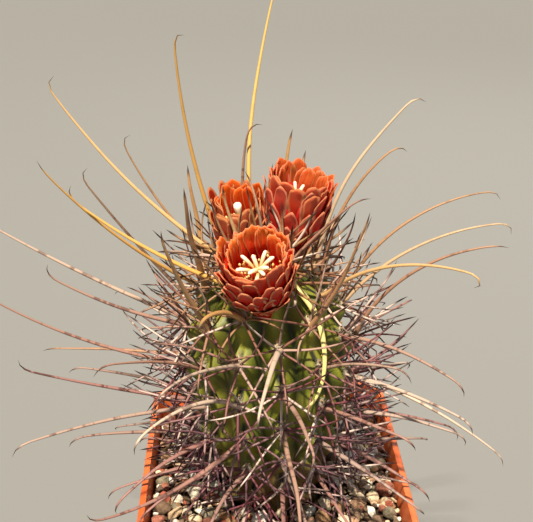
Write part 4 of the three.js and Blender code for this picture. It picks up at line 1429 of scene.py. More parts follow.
@dataclass(frozen=True)
class SquarePot:
    """A square plastic pot with rounded corners, a collar under its rim and a channelled foot."""

    height: float = POT_HEIGHT
    rim_half: float = RIM_HALF
    rim_corner: float = 11.0
    rim_top_width: float = 2.5
    rim_round: float = 0.7
    collar_height: float = 13.0
    collar_step: float = 1.6
    base_half: float = 36.0
    base_corner: float = 9.0
    base_round: float = 1.0
    wall: float = 1.4
    floor: float = 2.0
    foot_recess: float = 1.5
    channel_width: float = 9.0
    channel_start: float = 13.0
    channel_past: float = 2.0
    drain_radius: float = 3.6
    drain_at: float = 24.0
    corner_drain_radius: float = 2.8
    corner_drain_at: float = 25.0
    drill_depth: float = 14.0
    per_corner: int = 10
    finish: PotPlastic = PotPlastic("terracotta_polypropylene", 0.45)

    @property
    def collar_foot(self) -> float:
        """Height of the collar's lower edge."""
        return self.height - self.collar_height

    def half(self, z: float) -> float:
        """Half width of the outer body, below the collar."""
        top = self.rim_half - self.collar_step
        return self.base_half + (top - self.base_half) * min(z / self.collar_foot, 1)

    def corner(self, z: float) -> float:
        """Corner radius of the outer body."""
        return self.base_corner + (self.rim_corner - self.base_corner) * z / self.height

    def ring(self, half: float, corner: float, z: float) -> list[Point]:
        """Gives a level ring of a rounded square, anticlockwise from above."""
        points = []
        for q in range(4):
            cx = (half - corner) * (1 if q in (0, 3) else -1)
            cy = (half - corner) * (1 if q < 2 else -1)
            for i in range(self.per_corner):
                a = (q + i / (self.per_corner - 1)) * math.pi / 2
                points.append((cx + corner * math.cos(a), cy + corner * math.sin(a), z))
        return points

    def profile(self) -> list[Point]:
        """Gives half width, corner radius and height of each ring, up the outside and down the inside."""
        rim, corner, top, step = self.rim_half, self.rim_corner, self.height, self.collar_foot
        foot, edge, deep = self.base_round, self.rim_round, self.floor + self.foot_recess
        rows = [(self.half(0) - foot, self.corner(0) - foot, 0)]
        rows += [(self.half(0) - foot + 0.7, self.corner(0) - 0.3, 0.25)]
        rows += [(self.half(foot), self.corner(foot), foot)]
        rows += [(self.half(z), self.corner(z), z) for z in (20, 45, 70, step - 1.4)]
        rows += [(self.half(step) + 0.35, self.corner(step), step - 0.4), (rim - 0.5, corner, step)]
        rows += [(rim - 0.1, corner, step + 0.25), (rim, corner, step + 0.8), (rim, corner, top - 0.9)]
        for a in (25, 50, 75, 90):
            inset = edge * (1 - math.cos(math.radians(a)))
            rows.append((rim - inset, corner - inset, top - edge + edge * math.sin(math.radians(a))))
        inner = rim - self.rim_top_width
        rows += [(inner + 0.5, corner - 2, top), (inner + 0.12, corner - 2.3, top - 0.12)]
        rows += [(inner, corner - 2.5, top - 0.6)]
        rows += [(self.half(z) - self.wall, self.corner(z) - self.wall, z) for z in (step - 1, 60, 30, 5.5)]
        return rows + [(self.half(deep) - self.wall - 1.2, self.corner(deep) - self.wall - 0.6, deep)]

    def cutter(self) -> Piece:
        """Makes the tools that cut the channels and the drain holes."""
        form = bmesh.new()
        reach = self.base_half - self.channel_start + self.channel_past
        middle = self.channel_start + reach / 2
        drains = []
        for x, y in ((1, 0), (-1, 0), (0, 1), (0, -1)):
            size = (reach, self.channel_width) if x else (self.channel_width, reach)
            place = Matrix.Translation((x * middle, y * middle, 0))
            scale = Matrix.Diagonal((*size, 2 * self.foot_recess, 1))
            bmesh.ops.create_cube(form, size=1, matrix=place @ scale)
            drains.append((self.drain_radius, x * self.drain_at, y * self.drain_at))
        far = self.corner_drain_at
        drains += [(self.corner_drain_radius, x * far, y * far) for x in (1, -1) for y in (1, -1)]
        drill = {"cap_ends": True, "segments": 28, "depth": self.drill_depth}
        for radius, x, y in drains:
            place = Matrix.Translation((x, y, 1))
            bmesh.ops.create_cone(form, radius1=radius, radius2=radius, matrix=place, **drill)
        bmesh.ops.scale(form, vec=(MM, MM, MM), verts=form.verts)
        mesh = bpy.data.meshes.new("pot_cutter")
        form.to_mesh(mesh)
        form.free()
        return show("pot_cutter", mesh)

    def build(self) -> None:
        """Builds the pot and dresses it."""
        cup = ring_piece("pot_cup", [self.ring(*row) for row in self.profile()])
        cutter = self.cutter()
        cut = cup.modifiers.new("drains", "BOOLEAN")
        cut.object, cut.operation, cut.solver, cut.use_self = cutter, "DIFFERENCE", "EXACT", True
        pot = baked(cup, "pot_shell")
        bpy.data.objects.remove(cutter)
        shade(pot, sharp_from=38)
        pot.data.materials.clear()
        pot.data.materials.append(self.finish.material())
        settle(pot, "pot_plastic", "pot")


@dataclass(frozen=True)
class GritBed:
    """Coarse mineral grit: a bed of fines with two layers of stones on it."""

    pot: SquarePot
    stem: StemForm
    pitch: float = 7.0
    stray: float = 0.9
    rise: tuple[float, float] = (0.9, 2.6)
    radius: tuple[float, float] = (2.6, 4.1)
    sunk: float = 0.72
    small_stones: int = 1300
    small_rise: tuple[float, float] = (-2.2, 0.6)
    small_radius: tuple[float, float] = (0.9, 2.3)
    fines_sink: float = 3.2
    gap: float = 0.3
    kinds: int = 9
    pebble_sides: int = 9
    chip_points: int = 13
    stone_finish: MixedStone = MixedStone("mixed_grit", 0.85)
    soil_finish: FineSoil = FineSoil("lava_fines", 0.95)

    def stone_kinds(self) -> bpy.types.Collection:
        """Makes the kinds of stone, of about unit radius, by turns a pebble and a chip."""
        kinds = bpy.data.collections.new("stone_kinds")
        for k in range(self.kinds):
            form = self.chip(k) if k % 2 else self.pebble(k)
            mesh = bpy.data.meshes.new(f"stone_{k}")
            form.to_mesh(mesh)
            form.free()
            kinds.objects.link(bpy.data.objects.new(f"stone_{k}", mesh))
        return kinds

    @staticmethod
    def way(k: int, n: int, draw: int) -> np.ndarray:
        """Gives a direction by chance."""
        return unit(np.array([between(-1, 1, k, n, draw + axis) for axis in range(3)]))

    def pebble(self, k: int) -> bmesh.types.BMesh:
        """Makes a pebble: a ball ground flat on a few sides."""
        form = bmesh.new()
        bmesh.ops.create_icosphere(form, subdivisions=2, radius=1)
        sides = [
            (self.way(k, n, Draw.PEBBLE_SIDE), between(0.68, 1.0, k, n, Draw.PEBBLE_DEPTH))
            for n in range(self.pebble_sides)
        ]
        for vert in form.verts:
            way = np.array(vert.co)
            press = sum(max(float(way @ normal) / depth, 0) ** 9 for normal, depth in sides)
            vert.co *= min((press + 0.6) ** (-1 / 9), 1.15)
        return form

    def chip(self, k: int) -> bmesh.types.BMesh:
        """Makes a chip of crushed rock: the hull of a few points, its edges a little worn."""
        form = bmesh.new()
        for n in range(self.chip_points):
            form.verts.new(self.way(k, n, Draw.CHIP_POINT) * between(0.85, 1.15, k, n, Draw.CHIP_REACH))
        hull = bmesh.ops.convex_hull(form, input=form.verts)
        loose = [item for item in hull["geom_interior"] if isinstance(item, bmesh.types.BMVert)]
        bmesh.ops.delete(form, geom=loose, context="VERTS")
        bmesh.ops.dissolve_limit(form, angle_limit=math.radians(12), verts=form.verts, edges=form.edges)
        bmesh.ops.bevel(form, geom=form.edges, offset=0.07, segments=1, affect="EDGES", clamp_overlap=True)
        return form

    def is_inside(self, x: float, y: float, radius: float) -> bool:
        """Says whether a stone fits between the pot's wall and the stem."""
        half = self.pot.half(self.pot.collar_foot) - self.pot.wall - radius
        corner = self.pot.rim_corner - self.pot.wall
        dx, dy = max(abs(x) - (half - corner), 0), max(abs(y) - (half - corner), 0)
        return math.hypot(dx, dy) < corner and math.hypot(x, y) > self.stem.neck + radius * 0.4

    def stones(self) -> Iterable[tuple[float, float, float, float, float]]:
        """Gives place, radius and tint of every stone that fits: large ones on a grid, then small ones."""
        step = self.pitch / math.sqrt(3)
        half = math.ceil(RIM_HALF / step) + 4
        for j in range(-half, half + 1):
            shift = math.floor(-j / 2 + 0.5)
            for i in range(shift - half, shift + half + 1):
                if (i - j + 3 * half) % 3:
                    continue
                x = step * (i + j / 2) + between(-self.stray, self.stray, i, j, Draw.STONE_X)
                y = step * math.sqrt(3) / 2 * j + between(-self.stray, self.stray, i, j, Draw.STONE_Y)
                top = SOIL + between(*self.rise, i, j, Draw.STONE_RISE)
                radius = between(*self.radius, i, j, Draw.TINT)
                if self.is_inside(x, y, radius):
                    yield x, y, top - radius * self.sunk, radius, chance(i, j, Draw.TINT + 1)
        for n in range(self.small_stones):
            radius = between(*self.small_radius, n, 1, Draw.STONE_RISE)
            x, y = (between(-RIM_HALF, RIM_HALF, n, 2, draw) for draw in (Draw.STONE_X, Draw.STONE_Y))
            z = SOIL + between(*self.small_rise, n, 3, Draw.STONE_RISE)
            if self.is_inside(x, y, radius):
                yield x, y, z, radius, chance(n, 4, Draw.TINT)

    def fines(self) -> Piece:
        """Builds the bed of fines, with a hole for the stem's foot."""
        pot, top, inset = self.pot, SOIL - self.fines_sink, self.pot.wall
        deep = pot.floor + pot.foot_recess + self.gap
        levels = (deep, 40, pot.collar_foot)
        rows = [(pot.half(z) - inset - self.gap, pot.corner(z) - inset - self.gap, z) for z in levels]
        rings = [pot.ring(*row) for row in (*rows, (*rows[-1][:2], top))]
        hole = self.stem.neck + 2 * self.gap
        for radius, z in ((hole, top), (hole - 1, SOIL - self.stem.buried - self.gap)):
            ways = [np.array(p[:2]) / np.linalg.norm(p[:2]) * radius for p in rings[0]]
            rings.append([(x, y, z) for x, y in ways])
        return ring_piece("grit_bed", rings)

    def build(self) -> None:
        """Builds the bed and the stones and dresses them."""
        bed = self.fines()
        bed.data.materials.append(self.soil_finish.material())
        settle(bed, "mineral_grit", "grit")
        found = list(self.stones())
        marks = {"radius": [s[3] * MM for s in found], "tint": [s[4] for s in found]}
        source = mesh_piece("stone_places", [s[:3] for s in found], marks=marks)
        inputs = {"Kinds": self.stone_kinds(), "Seed": 5, "Material": self.stone_finish.material()}
        stones = grown(source, "grit_stones", Growth.STONES, inputs)
        shade(stones, sharp_from=34)
        settle(stones, "mineral_grit", "grit")


@dataclass(frozen=True)
class SpineSizes:
    """How thick spines are at foot and point, and how finely they are drawn."""

    foot: float
    tip: float
    points: int
    sides: int
    flatness: float
    sway: float
    taper: float

    def thickness(self, shares: np.ndarray) -> np.ndarray:
        """Gives the radius at shares of the length: a swollen foot, a slow taper and a sharp point."""
        body = self.foot + (self.tip - self.foot) * shares**self.taper
        return (body + 0.25 * self.foot * np.exp(-shares * 30)) * np.clip((1.004 - shares) * 14, 0.05, 1)


class Balls:
    """Balls pressed to size on areoles, gathered into one mesh with a mark for each of their points."""

    def __init__(self) -> None:
        """Makes the unit ball."""
        form = bmesh.new()
        bmesh.ops.create_icosphere(form, subdivisions=2, radius=1)
        self.ball = np.array([vert.co for vert in form.verts])
        self.ball_faces = [tuple(v.index for v in face.verts) for face in form.faces]
        form.free()
        self.points: list[np.ndarray] = []
        self.faces: list[tuple[int, ...]] = []
        self.marks: list[float] = []

    def drop(self, areole: Areole, middle: np.ndarray, size: Point, mark: float) -> None:
        """Adds a ball of a size across, up and out of the rib."""
        axes = np.array([areole.across, areole.up, areole.out])
        self.faces += [tuple(len(self.points) + v for v in face) for face in self.ball_faces]
        self.points.extend(middle + (self.ball * np.array(size)) @ axes)
        self.marks += [mark] * len(self.ball)


@dataclass(frozen=True)
class CactusBody:
    """The stem with its wool, glands and spines."""

    stem: StemForm
    blooms: tuple[BloomForm, ...]
    columns: int = 260
    rings: int = 170
    unevenness: float = 0.35
    groove_depth: float = 0.6
    spine_sink: float = 1.2
    stout: float = 1.3
    stout_to_age: float = 0.65
    stout_to_length: float = 50.0
    gland_lift: float = 0.75
    long_sizes: SpineSizes = SpineSizes(1.05, 0.3, points=28, sides=8, flatness=0.76, sway=0.9, taper=1.0)
    radial_sizes: SpineSizes = SpineSizes(0.5, 0.25, points=11, sides=6, flatness=0.85, sway=0.5, taper=1.2)
    skin: CactusSkin = CactusSkin("waxy_skin", 0.45)
    long_horn: Horn = Horn("spine_horn", 0.5)
    radial_horn: Horn = Horn(
        "radial_horn", 0.55, hues=((0.55, "#a07c4c"), (0.7, "#9f7858"), (0.85, "#966e6c"), (1.0, "#84626c")),
        pale="#f2ddd2", pale_weight=0.8, rose="#763a48", rose_weight=0.85, point="#20100f", point_length=6.5,
    )
    wool: Felt = Felt("areole_wool", 0.95)
    gland: Flesh = Flesh("nectar_gland", 0.25, foot="#7a5420", head="#a8894a")

    def body(self) -> None:
        """Builds the stem's skin."""
        stem = self.stem
        outline = [(r, 0, z) for _, z, r in stem.meridian[::4]]
        outline += [(stem.crest_radius(z), 0, z) for z in (-3, -6, -stem.buried)] + [(0, 0, -stem.buried)]
        lengths = {
            "Length": float(np.linalg.norm(np.diff(np.array(outline), axis=0), axis=1).sum()),
            "Rib Depth": stem.rib_depth,
            "Rib Fade": stem.rib_fade,
            "Tubercle Rise": stem.tubercle_rise,
            "Pitch": stem.areole_pitch,
            "First Areole": stem.first_areole,
            "Base": SOIL,
            "Unevenness": self.unevenness,
            "Groove Depth": self.groove_depth,
        }
        profile = chain_piece("stem_profile", outline)
        inputs = {
            **{name: length * MM for name, length in lengths.items()},
            "Profile": profile,
            "Columns": self.columns,
            "Rings": self.rings,
            "Ribs": stem.ribs,
            "Stagger": stem.stagger_step,
            "First Rib": math.radians(stem.first_rib),
            "Furrow Power": stem.furrow_power,
            "Swell Shift": stem.swell_shift,
            "Least Share": stem.least_share,
            "Lean": stem.lean,
            "Material": self.skin.material(),
        }
        body = grown(mesh_piece("stem_seed", [(0, 0, 0)]), "stem_skin", Growth.RIBBED, inputs)
        bpy.data.objects.remove(profile)
        settle(body, "cactus_skin", "cactus_stem")

    def sweep(self, name: str, spines: Sequence[Spine], sizes: SpineSizes, finish: Finish) -> None:
        """Builds a set of spines as one piece."""
        shares = np.linspace(0, 1, sizes.points)
        points, edges, marks = [], [], {"thickness": [], "rest": [], "run": [], "age": [], "tint": []}
        for n, spine in enumerate(spines):
            path = spine.path(shares)
            path[0] -= spine.direction * self.spine_sink
            side = unit(np.cross(spine.direction, [0.3, 0.2, 1]))
            sway = sizes.sway * np.sin(shares * math.pi * between(1.5, 3.5, n, 1, Draw.BOW)) * shares
            path += np.outer(sway * between(-1, 1, n, 2, Draw.BOW), side)
            is_stout = spine.age < self.stout_to_age and spine.length < self.stout_to_length
            stout = self.stout if is_stout else 1
            thick = sizes.thickness(shares) * between(0.88, 1.1, n, 3, Draw.TINT) * stout
            tint = chance(n, 4, Draw.TINT)
            first = len(points)
            points.extend(path)
            edges.extend((first + i, first + i + 1) for i in range(len(shares) - 1))
            marks["thickness"].extend(thick * MM)
            marks["rest"].extend((1 - shares) * spine.length)
            marks["run"].extend(shares * spine.length)
            marks["age"].extend([min(max(spine.age + (tint - 0.5) * 0.08, 0), 1)] * len(shares))
            marks["tint"].extend([tint] * len(shares))
        source = mesh_piece(f"{name}_paths", points, edges=edges, marks=marks)
        inputs = {"Sides": sizes.sides, "Flatness": sizes.flatness, "Material": finish.material()}
        settle(grown(source, name, Growth.SWEEP, inputs), "cactus_skin", "cactus_stem")

    def pads(self, areoles: Sequence[Areole]) -> None:
        """Builds the woolly pads and the glands above them."""
        wool, glands = Balls(), Balls()
        for areole in areoles:
            tall = areole.between(2.3, 2.9, Draw.PAD)
            for off, size in ((0.0, (1.9, tall, 1.0)), (2.4, (0.8, 1.3, 0.5))):
                wool.drop(areole, areole.on_clock(0, off, -0.05), size, areole.age)
            for n, off in enumerate((3.4, 5.0)):
                r = areole.between(0.3, 0.45, Draw.GLAND + n)
                middle = areole.on_clock(6 * (n * 2 - 1), off, self.gland_lift)
                glands.drop(areole, middle, (r, r, r), 0.5 + 0.5 * n)
        marks = {"age": wool.marks, "tint": [0.35] * len(wool.points)}
        inputs = {
            "Density": 2.6e6, "Shortest": 0.8 * MM, "Longest": 1.7 * MM, "Thickness": 0.09 * MM,
            "Seed": 3, "Material": self.wool.material(),
        }
        pads = mesh_piece("pads", wool.points, wool.faces, marks=marks)
        settle(grown(pads, "areole_wool", Growth.FELT, inputs), "cactus_skin", "cactus_stem")
        beads = mesh_piece("nectar_glands", glands.points, glands.faces, marks={"along": glands.marks})
        shade(beads)
        beads.data.materials.append(self.gland.material())
        settle(beads, "cactus_skin", "cactus_stem")

    def build(self) -> None:
        """Builds the stem, its wool and its spines."""
        self.body()
        clusters = SpineGrowth(self.stem, self.blooms).clusters()
        self.pads([cluster.areole for cluster in clusters])
        centrals = [c.central for c in clusters if c.central]
        radials = [spine for c in clusters for spine in c.radials]
        log.info("%d areoles, %d central and %d radial spines", len(clusters), len(centrals), len(radials))
        self.sweep("central_spines", centrals, self.long_sizes, self.long_horn)
        self.sweep("radial_spines", radials, self.radial_sizes, self.radial_horn)


@dataclass(frozen=True)
class PetalCut:
    """The outline of the petals in one whorl.

    There are count of them, the first turned on by start. from_share and to_share are where a petal starts
    and ends along the cup. wide is its half width as a share of an even spacing, widest is how far up it
    is that wide, and blunt says how round its tip is. lift and curl stand it off the cup, at its foot and
    its tip, and hollow cups it across. scallop notches its tip and flute waves it across, both by a number
    of folds.
    """

    count: int
    from_share: float
    to_share: float
    wide: float
    blunt: float
    lift: float
    curl: float
    hollow: float
    start: float
    widest: float
    scallop: float = 0.0
    flute: float = 0.0
    folds: float = 3.0
    thick: float = 0.32
    rows: int = 12
    columns: int = 15
    foot_width: float = 0.55
    curl_power: float = 2.5
    overlap: float = 0.34
    sag: float = 0.25

    def sheet(self, form: BloomForm, name: str) -> Piece:
        """Makes one petal on the cup's far side, +Y, as a sheet that a modifier thickens.

        Its attributes are along, across, edge and height.
        """
        span = self.to_share - self.from_share
        t = np.linspace(0, 1, self.rows)[:, None] * np.ones(self.columns)
        u = np.sin(np.linspace(-math.pi / 2, math.pi / 2, self.columns))[None, :] * np.ones((self.rows, 1))
        rounding = np.clip(1 - np.abs(u) ** self.blunt, 0, 1) ** (1 / self.blunt)
        ends = self.widest + (1 - self.widest) * rounding
        ends += self.scallop * np.cos(u * math.pi * self.folds) * rounding / (span * form.length)
        v = t * ends
        width = self.foot_width + (1 - self.foot_width) * smooth_step(v, 0, self.widest)
        share = self.from_share + span * v
        half = math.pi / self.count * self.wide
        across = u * width
        radius = form.radius(share) + self.lift + self.curl * v**self.curl_power
        radius = radius + self.overlap * across - across**2 * self.hollow
        radius += self.flute * np.cos(across * math.pi * self.folds) * v
        angle = across * half
        x, y, z = radius * np.sin(angle), radius * np.cos(angle), share * form.length - self.sag * across**2
        side = (1 - np.abs(u)) * width * half * radius
        end = (ends - v) * span * form.length
        faces = [
            (n, n + self.columns, n + self.columns + 1, n + 1)
            for i in range(self.rows - 1)
            for n in range(i * self.columns, (i + 1) * self.columns - 1)
        ]
        marks = {"along": v, "across": across, "edge": np.minimum(side, end), "height": share}
        marks = {label: values.ravel() for label, values in marks.items()}
        sheet = mesh_piece(name, np.stack([x, y, z], axis=-1).reshape(-1, 3), faces, marks=marks)
        shade(sheet)
        sheet.vertex_groups.new(name="shell")
        body = sheet.modifiers.new("body", "SOLIDIFY")
        body.thickness, body.offset, body.shell_vertex_group = self.thick * MM, 0, "shell"
        return sheet


@dataclass(frozen=True)
class StamenRing:
    """A ring of stamens: its share of the cup's radius, its count and its top's share of the length."""

    share: float
    count: int
    top: float


@dataclass(frozen=True)
class Whorl:
    """How many copies of a piece stand round a bloom, where they start and how far each strays."""

    count: int
    seed: int
    start: float = 0.0
    lean_stray: float = 0.0
    turn_stray: float = 0.0
    size_stray: float = 0.0

    def of(self, piece: Piece, name: str, finish: Material) -> Piece:
        """Sets copies of an upright piece round the bloom."""
        inputs = {
            "Count": self.count, "Seed": self.seed, "Start": self.start, "Lean": 0.0, "Material": finish,
            "Lean Stray": self.lean_stray, "Turn Stray": self.turn_stray, "Size Stray": self.size_stray,
        }
        return grown(piece, name, Growth.WHORL, inputs)


@dataclass(frozen=True)
class Bloom:
    """One bloom: scales up the outside of its cup, petals inside, stamens and a lobed stigma."""

    form: BloomForm
    scales: tuple[PetalCut, ...]
    petals: tuple[PetalCut, ...]
    scale_finish: Material
    petal_finish: Material
    filament_finish: Material
    anther_finish: Material
    stigma_finish: Material
    seed: int
    ruffle: float = 0.8
    floor_share: float = 0.25
    tube_sides: int = 48
    tube_shares: tuple[float, ...] = (0, 0.1, 0.2, 0.34, 0.5, 0.66, 0.8)
    tube_streaks: int = 12
    tube_sink: float = 3.0
    stamen_rings: tuple[StamenRing, ...] = (
        StamenRing(0.4, 20, 0.54), StamenRing(0.6, 30, 0.58), StamenRing(0.82, 38, 0.62),
    )
    filament_radii: tuple[float, ...] = (0.16, 0.13, 0.1)
    anther_radii: tuple[float, ...] = (0.18, 0.46, 0.42, 0.15)
    style_radii: tuple[float, ...] = (0.9, 0.8, 1.1)
    lobe_steps: int = 8

    def petal_whorls(self, label: str, cuts: Sequence[PetalCut], finish: Material) -> Piece:
        """Builds whorls of petals as one piece."""
        made = []
        for k, cut in enumerate(cuts):
            sheet = cut.sheet(self.form, f"{label}_sheet_{k}")
            stray = {"lean_stray": 0.045, "turn_stray": 0.07, "size_stray": 0.05}
            whorl = Whorl(cut.count, self.seed + 10 * k, cut.start, **stray)
            made.append(whorl.of(sheet, f"{label}_{k}", finish))
        return joined(f"{label}_{self.form.name}", made)

    def tube(self) -> Piece:
        """Builds the short flower tube that the scales sit on, closed at its floor."""
        form, shares, count = self.form, self.tube_shares, self.tube_sides

        def wall(share: float, inset: float) -> tuple[float, float]:
            """Gives the tube's radius and height at a share of the cup's length."""
            return float(form.radius(share)) - inset, share * form.length

        rows = [(form.foot_radius - 0.3, -self.tube_sink)]
        rows += [wall(s, 0.1) for s in shares] + [wall(s, 0.75) for s in reversed(shares[3:])]
        rows += [wall(0.24, 0.9), (0.6, 0.235 * form.length)]
        turns = [math.tau * j / count for j in range(count)]
        rings = [[(r * math.cos(a), r * math.sin(a), z) for a in turns] for r, z in rows]
        total, top = len(rows) * count, shares[-1]
        marks = {
            "along": [0.5] * total,
            "height": [top * max(z, 0) / (top * form.length) for _, z in rows for _ in turns],
            "across": [j / count * self.tube_streaks % 1 for _ in rows for j in range(count)],
            "edge": [2.0] * total,
            "tint": [0.5] * total,
        }
        tube = ring_piece("flower_tube", rings, marks)
        shade(tube)
        tube.data.materials.append(self.scale_finish)
        return tube

    @staticmethod
    def stalks(
        label: str, path: Sequence[Point], radii: Sequence[float], sides: int, finish: Material, whorl: Whorl
    ) -> Piece:
        """Builds a whorl of stalks, each swept along a path by the radius at each of its points."""
        marks = {"thickness": np.array(radii) * MM, "along": np.linspace(0, 1, len(path))}
        chain = chain_piece(f"{label}_path", path, marks)
        oval = {"Sides": sides, "Flatness": 1.0, "Material": finish}
        return whorl.of(grown(chain, f"{label}_stalk", Growth.SWEEP, oval), label, finish)

    def stamens(self) -> Piece:
        """Builds rings of filaments with their anthers."""
        form, made = self.form, []
        floor = self.floor_share * form.length
        for k, ring in enumerate(self.stamen_rings):
            r, high = (float(form.radius(0.4)) - 1.4) * ring.share, ring.top * form.length
            stray = {"lean_stray": 0.06, "turn_stray": 0.12, "size_stray": 0.08}
            whorl = Whorl(ring.count, self.seed + 40 + k, 0.4 * k, **stray)
            filament = [(0, r * 0.85, floor), (0, r * 0.95, (floor + high) / 2), (0, r, high)]
            outs_and_ups = ((0, -0.35), (0.05, 0), (0.1, 0.5), (0.1, 0.85))
            anther = [(0, r + out, high + up) for out, up in outs_and_ups]
            kinds = (
                ("filament", filament, self.filament_radii, 4, self.filament_finish),
                ("anther", anther, self.anther_radii, 6, self.anther_finish),
            )
            for name, path, radii, sides, finish in kinds:
                made.append(self.stalks(f"{name}_{k}", path, radii, sides, finish, whorl))
        return joined(f"stamen_ring_{form.name}", made)

    def pistil(self) -> Piece:
        """Builds the style and the lobes of the stigma."""
        form, finish = self.form, self.stigma_finish
        lobes, reach, rise, thick, stray = form.stigma.value
        floor, neck = self.floor_share * form.length, form.neck_share * form.length
        middle = [(0, 0, floor), (0, 0, (floor + neck) / 2), (0, 0, neck + 0.4)]
        style = self.stalks("style", middle, self.style_radii, 12, finish, Whorl(1, 1))
        path, radii = [], []
        for i in range(self.lobe_steps + 1):
            t = i / self.lobe_steps
            path.append((0, 0.45 + reach * t**0.9, neck + rise * math.sin(t * 1.45)))
            tip = 1 if i < self.lobe_steps else 0.45
            radii.append(thick * (0.75 + 0.35 * math.sin(math.pi * min(t * 0.9, 1))) * tip)
        whorl = Whorl(lobes, self.seed + 70, 0.2, 0.09 * stray, 0.12 * stray, 0.05 * stray)
        star = self.stalks("lobes", path, radii, 8, finish, whorl)
        neck_top = Matrix.Translation((0, 0, neck * MM))
        bend = Matrix.Rotation(math.radians(form.nod), 4, Vector((-form.front[1], form.front[0], 0)))
        star.data.transform(neck_top @ bend @ neck_top.inverted())
        return joined(f"stigma_{form.name}", [style, star])

    def build(self) -> None:
        """Builds the bloom and sets it on the stem."""
        name = self.form.name
        scales = [self.tube(), self.petal_whorls("scales", self.scales, self.scale_finish)]
        pieces = (
            (joined(f"flower_scales_{name}", scales), "petals", f"bloom_{name}"),
            (self.petal_whorls("petals", self.petals, self.petal_finish), "petals", f"bloom_{name}"),
            (self.stamens(), "anthers", f"stamens_{name}"),
            (self.pistil(), "stigma", f"pistil_{name}"),
        )
        for piece, slot, node in pieces:
            self.form.set_in(piece.data, self.ruffle if slot == "petals" else 0)
            settle(piece, slot, node)


FLAME = Petal("petal_skin", 0.45)
EMBER = replace(
    FLAME, name="ember_petal_skin", throat="#9c1004", heart="#b4300a", blade="#c44e10", margin="#cc8a58",
    ridge_highlight="#d0702c", throat_to=0.72, back="#88140a", back_margin="#b27850",
)
CORAL = replace(
    FLAME, name="coral_petal_skin", throat="#b41810", heart="#b63a1a", blade="#ba5424", margin="#d0906c",
    ridge_highlight="#d07c4c", throat_to=0.6, back="#b8200e", back_margin="#c87c56",
)
SCALE = Petal(
    "scale_skin", 0.5, throat="#ac0a04", heart="#ac0c04", blade="#b82006", back="#ac0c04", vein_and_shade="#740904",
    margin="#d08a68", back_margin="#d08a68", ridge_highlight="#c83818", margin_from=0.5, margin_to=1.1,
    margin_weight=0.8, veins=6.0, throat_to=0.5, ridge_weight=0.15,
)
DUSKY = replace(
    SCALE, name="dusky_scale_skin", throat="#6c0e04", heart="#88140a", blade="#96260c", back="#88140a",
    margin="#b27650", back_margin="#b27650",
)
ROSY = replace(
    SCALE, name="rosy_scale_skin", throat="#bc1210", heart="#b41416", blade="#bc2c1c", back="#b41816",
    margin="#cc8466", back_margin="#cc8466", margin_to=1.2,
)

# Each whorl's numbers are in the order of PetalCut's fields.
BROAD_SCALES = (
    PetalCut(9, 0.0, 0.28, 1.2, 1.5, 0.6, 0.8, 0.1, 0.0, 0.45, 0.15, 0.1),
    PetalCut(12, 0.1, 0.44, 1.12, 1.4, 0.9, 1.1, 0.15, 0.26, 0.42, 0.15, 0.1),
    PetalCut(13, 0.22, 0.6, 1.1, 1.4, 0.9, 1.3, 0.15, 0.0, 0.42, 0.2, 0.1),
    PetalCut(13, 0.36, 0.76, 1.08, 1.5, 0.7, 1.5, 0.15, 0.24, 0.45, 0.2, 0.1),
    PetalCut(13, 0.5, 0.92, 1.05, 1.6, 0.4, 1.3, 0.15, 0.0, 0.5, 0.2, 0.1),
)
NARROW_SCALES = (
    PetalCut(8, 0.0, 0.3, 1.2, 1.7, 0.3, 0.6, 0.3, 0.0, 0.5),
    PetalCut(13, 0.1, 0.48, 1.25, 1.8, 0.6, 0.9, 0.4, 0.26, 0.55),
    PetalCut(13, 0.22, 0.64, 1.2, 1.9, 0.7, 1.0, 0.4, 0.0, 0.6),
    PetalCut(13, 0.34, 0.8, 1.15, 2.0, 0.6, 0.9, 0.4, 0.24, 0.62),
    PetalCut(13, 0.46, 1.0, 1.08, 1.9, 0.5, 0.8, 0.4, 0.0, 0.66),
)
DIAMOND_SCALES = (
    PetalCut(8, 0.0, 0.3, 1.2, 1.3, 0.3, 0.6, 0.3, 0.0, 0.45),
    PetalCut(11, 0.1, 0.46, 1.3, 1.2, 0.6, 0.9, 0.4, 0.29, 0.45),
    PetalCut(11, 0.23, 0.6, 1.3, 1.25, 0.7, 1.1, 0.4, 0.0, 0.46),
    PetalCut(12, 0.34, 0.76, 1.15, 1.45, 0.6, 1.0, 0.4, 0.26, 0.52),
    PetalCut(13, 0.47, 0.95, 1.05, 1.7, 0.4, 0.9, 0.4, 0.0, 0.6),
)
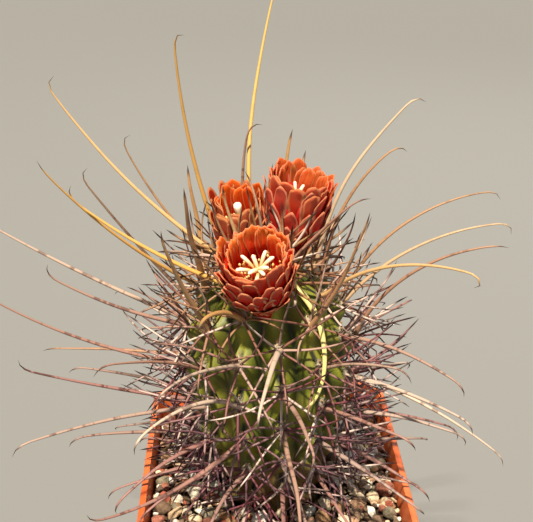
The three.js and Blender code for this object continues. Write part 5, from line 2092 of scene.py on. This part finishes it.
BROAD_PETALS = (
    PetalCut(12, 0.5, 1.03, 1.25, 2.8, -0.3, 0.2, 0.35, 0.1, 0.8, 0.25, 0.2),
    PetalCut(11, 0.25, 1.0, 1.25, 2.8, -0.9, 0.0, 0.3, 0.34, 0.8, 0.25, 0.2),
)
CLOSE_PETALS = (
    PetalCut(11, 0.5, 1.0, 1.25, 2.8, -0.3, 0.0, 0.3, 0.1, 0.82, 0.25, 0.15, 2.0),
    PetalCut(10, 0.25, 0.99, 1.3, 2.8, -0.8, -0.2, 0.3, 0.34, 0.82, 0.25, 0.15, 2.0),
)
LONG_PETALS = (
    PetalCut(13, 0.5, 1.02, 1.15, 2.6, -0.3, 0.9, 0.35, 0.1, 0.8, 0.25, 0.15, 2.0),
    PetalCut(12, 0.25, 1.0, 1.2, 2.6, -0.8, 0.5, 0.3, 0.34, 0.8, 0.25, 0.15, 2.0),
)
DRESSES = (
    (BROAD_SCALES, BROAD_PETALS, SCALE, FLAME),
    (NARROW_SCALES, CLOSE_PETALS, DUSKY, EMBER),
    (DIAMOND_SCALES, LONG_PETALS, ROSY, CORAL),
)
FILAMENT = Flesh("filament", 0.5, foot="#b52a12", head="#f0c070")
ANTHER = Flesh("anther_pollen", 0.9, foot="#e8b04c", head="#f6dc92")
STIGMA = Flesh("stigma_velvet", 0.6, foot="#ecc07c", head="#fff6dc")

# Without a seed, the noise that ruffles the petals starts from the clock.
RUFFLE_SEED = 1


def main() -> None:
    """Builds the studio and every piece, in order from the ground up."""
    logging.basicConfig(level=logging.INFO, format="%(name)s: %(message)s")
    noise.seed_set(RUFFLE_SEED)
    Studio().build()
    pot, stem = SquarePot(), StemForm()
    pot.build()
    GritBed(pot, stem).build()
    CactusBody(stem, BLOOMS).build()
    heart = [finish.material() for finish in (FILAMENT, ANTHER, STIGMA)]
    for number, (form, (scales, petals, scale_skin, petal_skin)) in enumerate(zip(BLOOMS, DRESSES)):
        skins = (scale_skin.material(), petal_skin.material())
        Bloom(form, scales, petals, *skins, *heart, 7 + 100 * number).build()


if __name__ == "__main__":
    main()
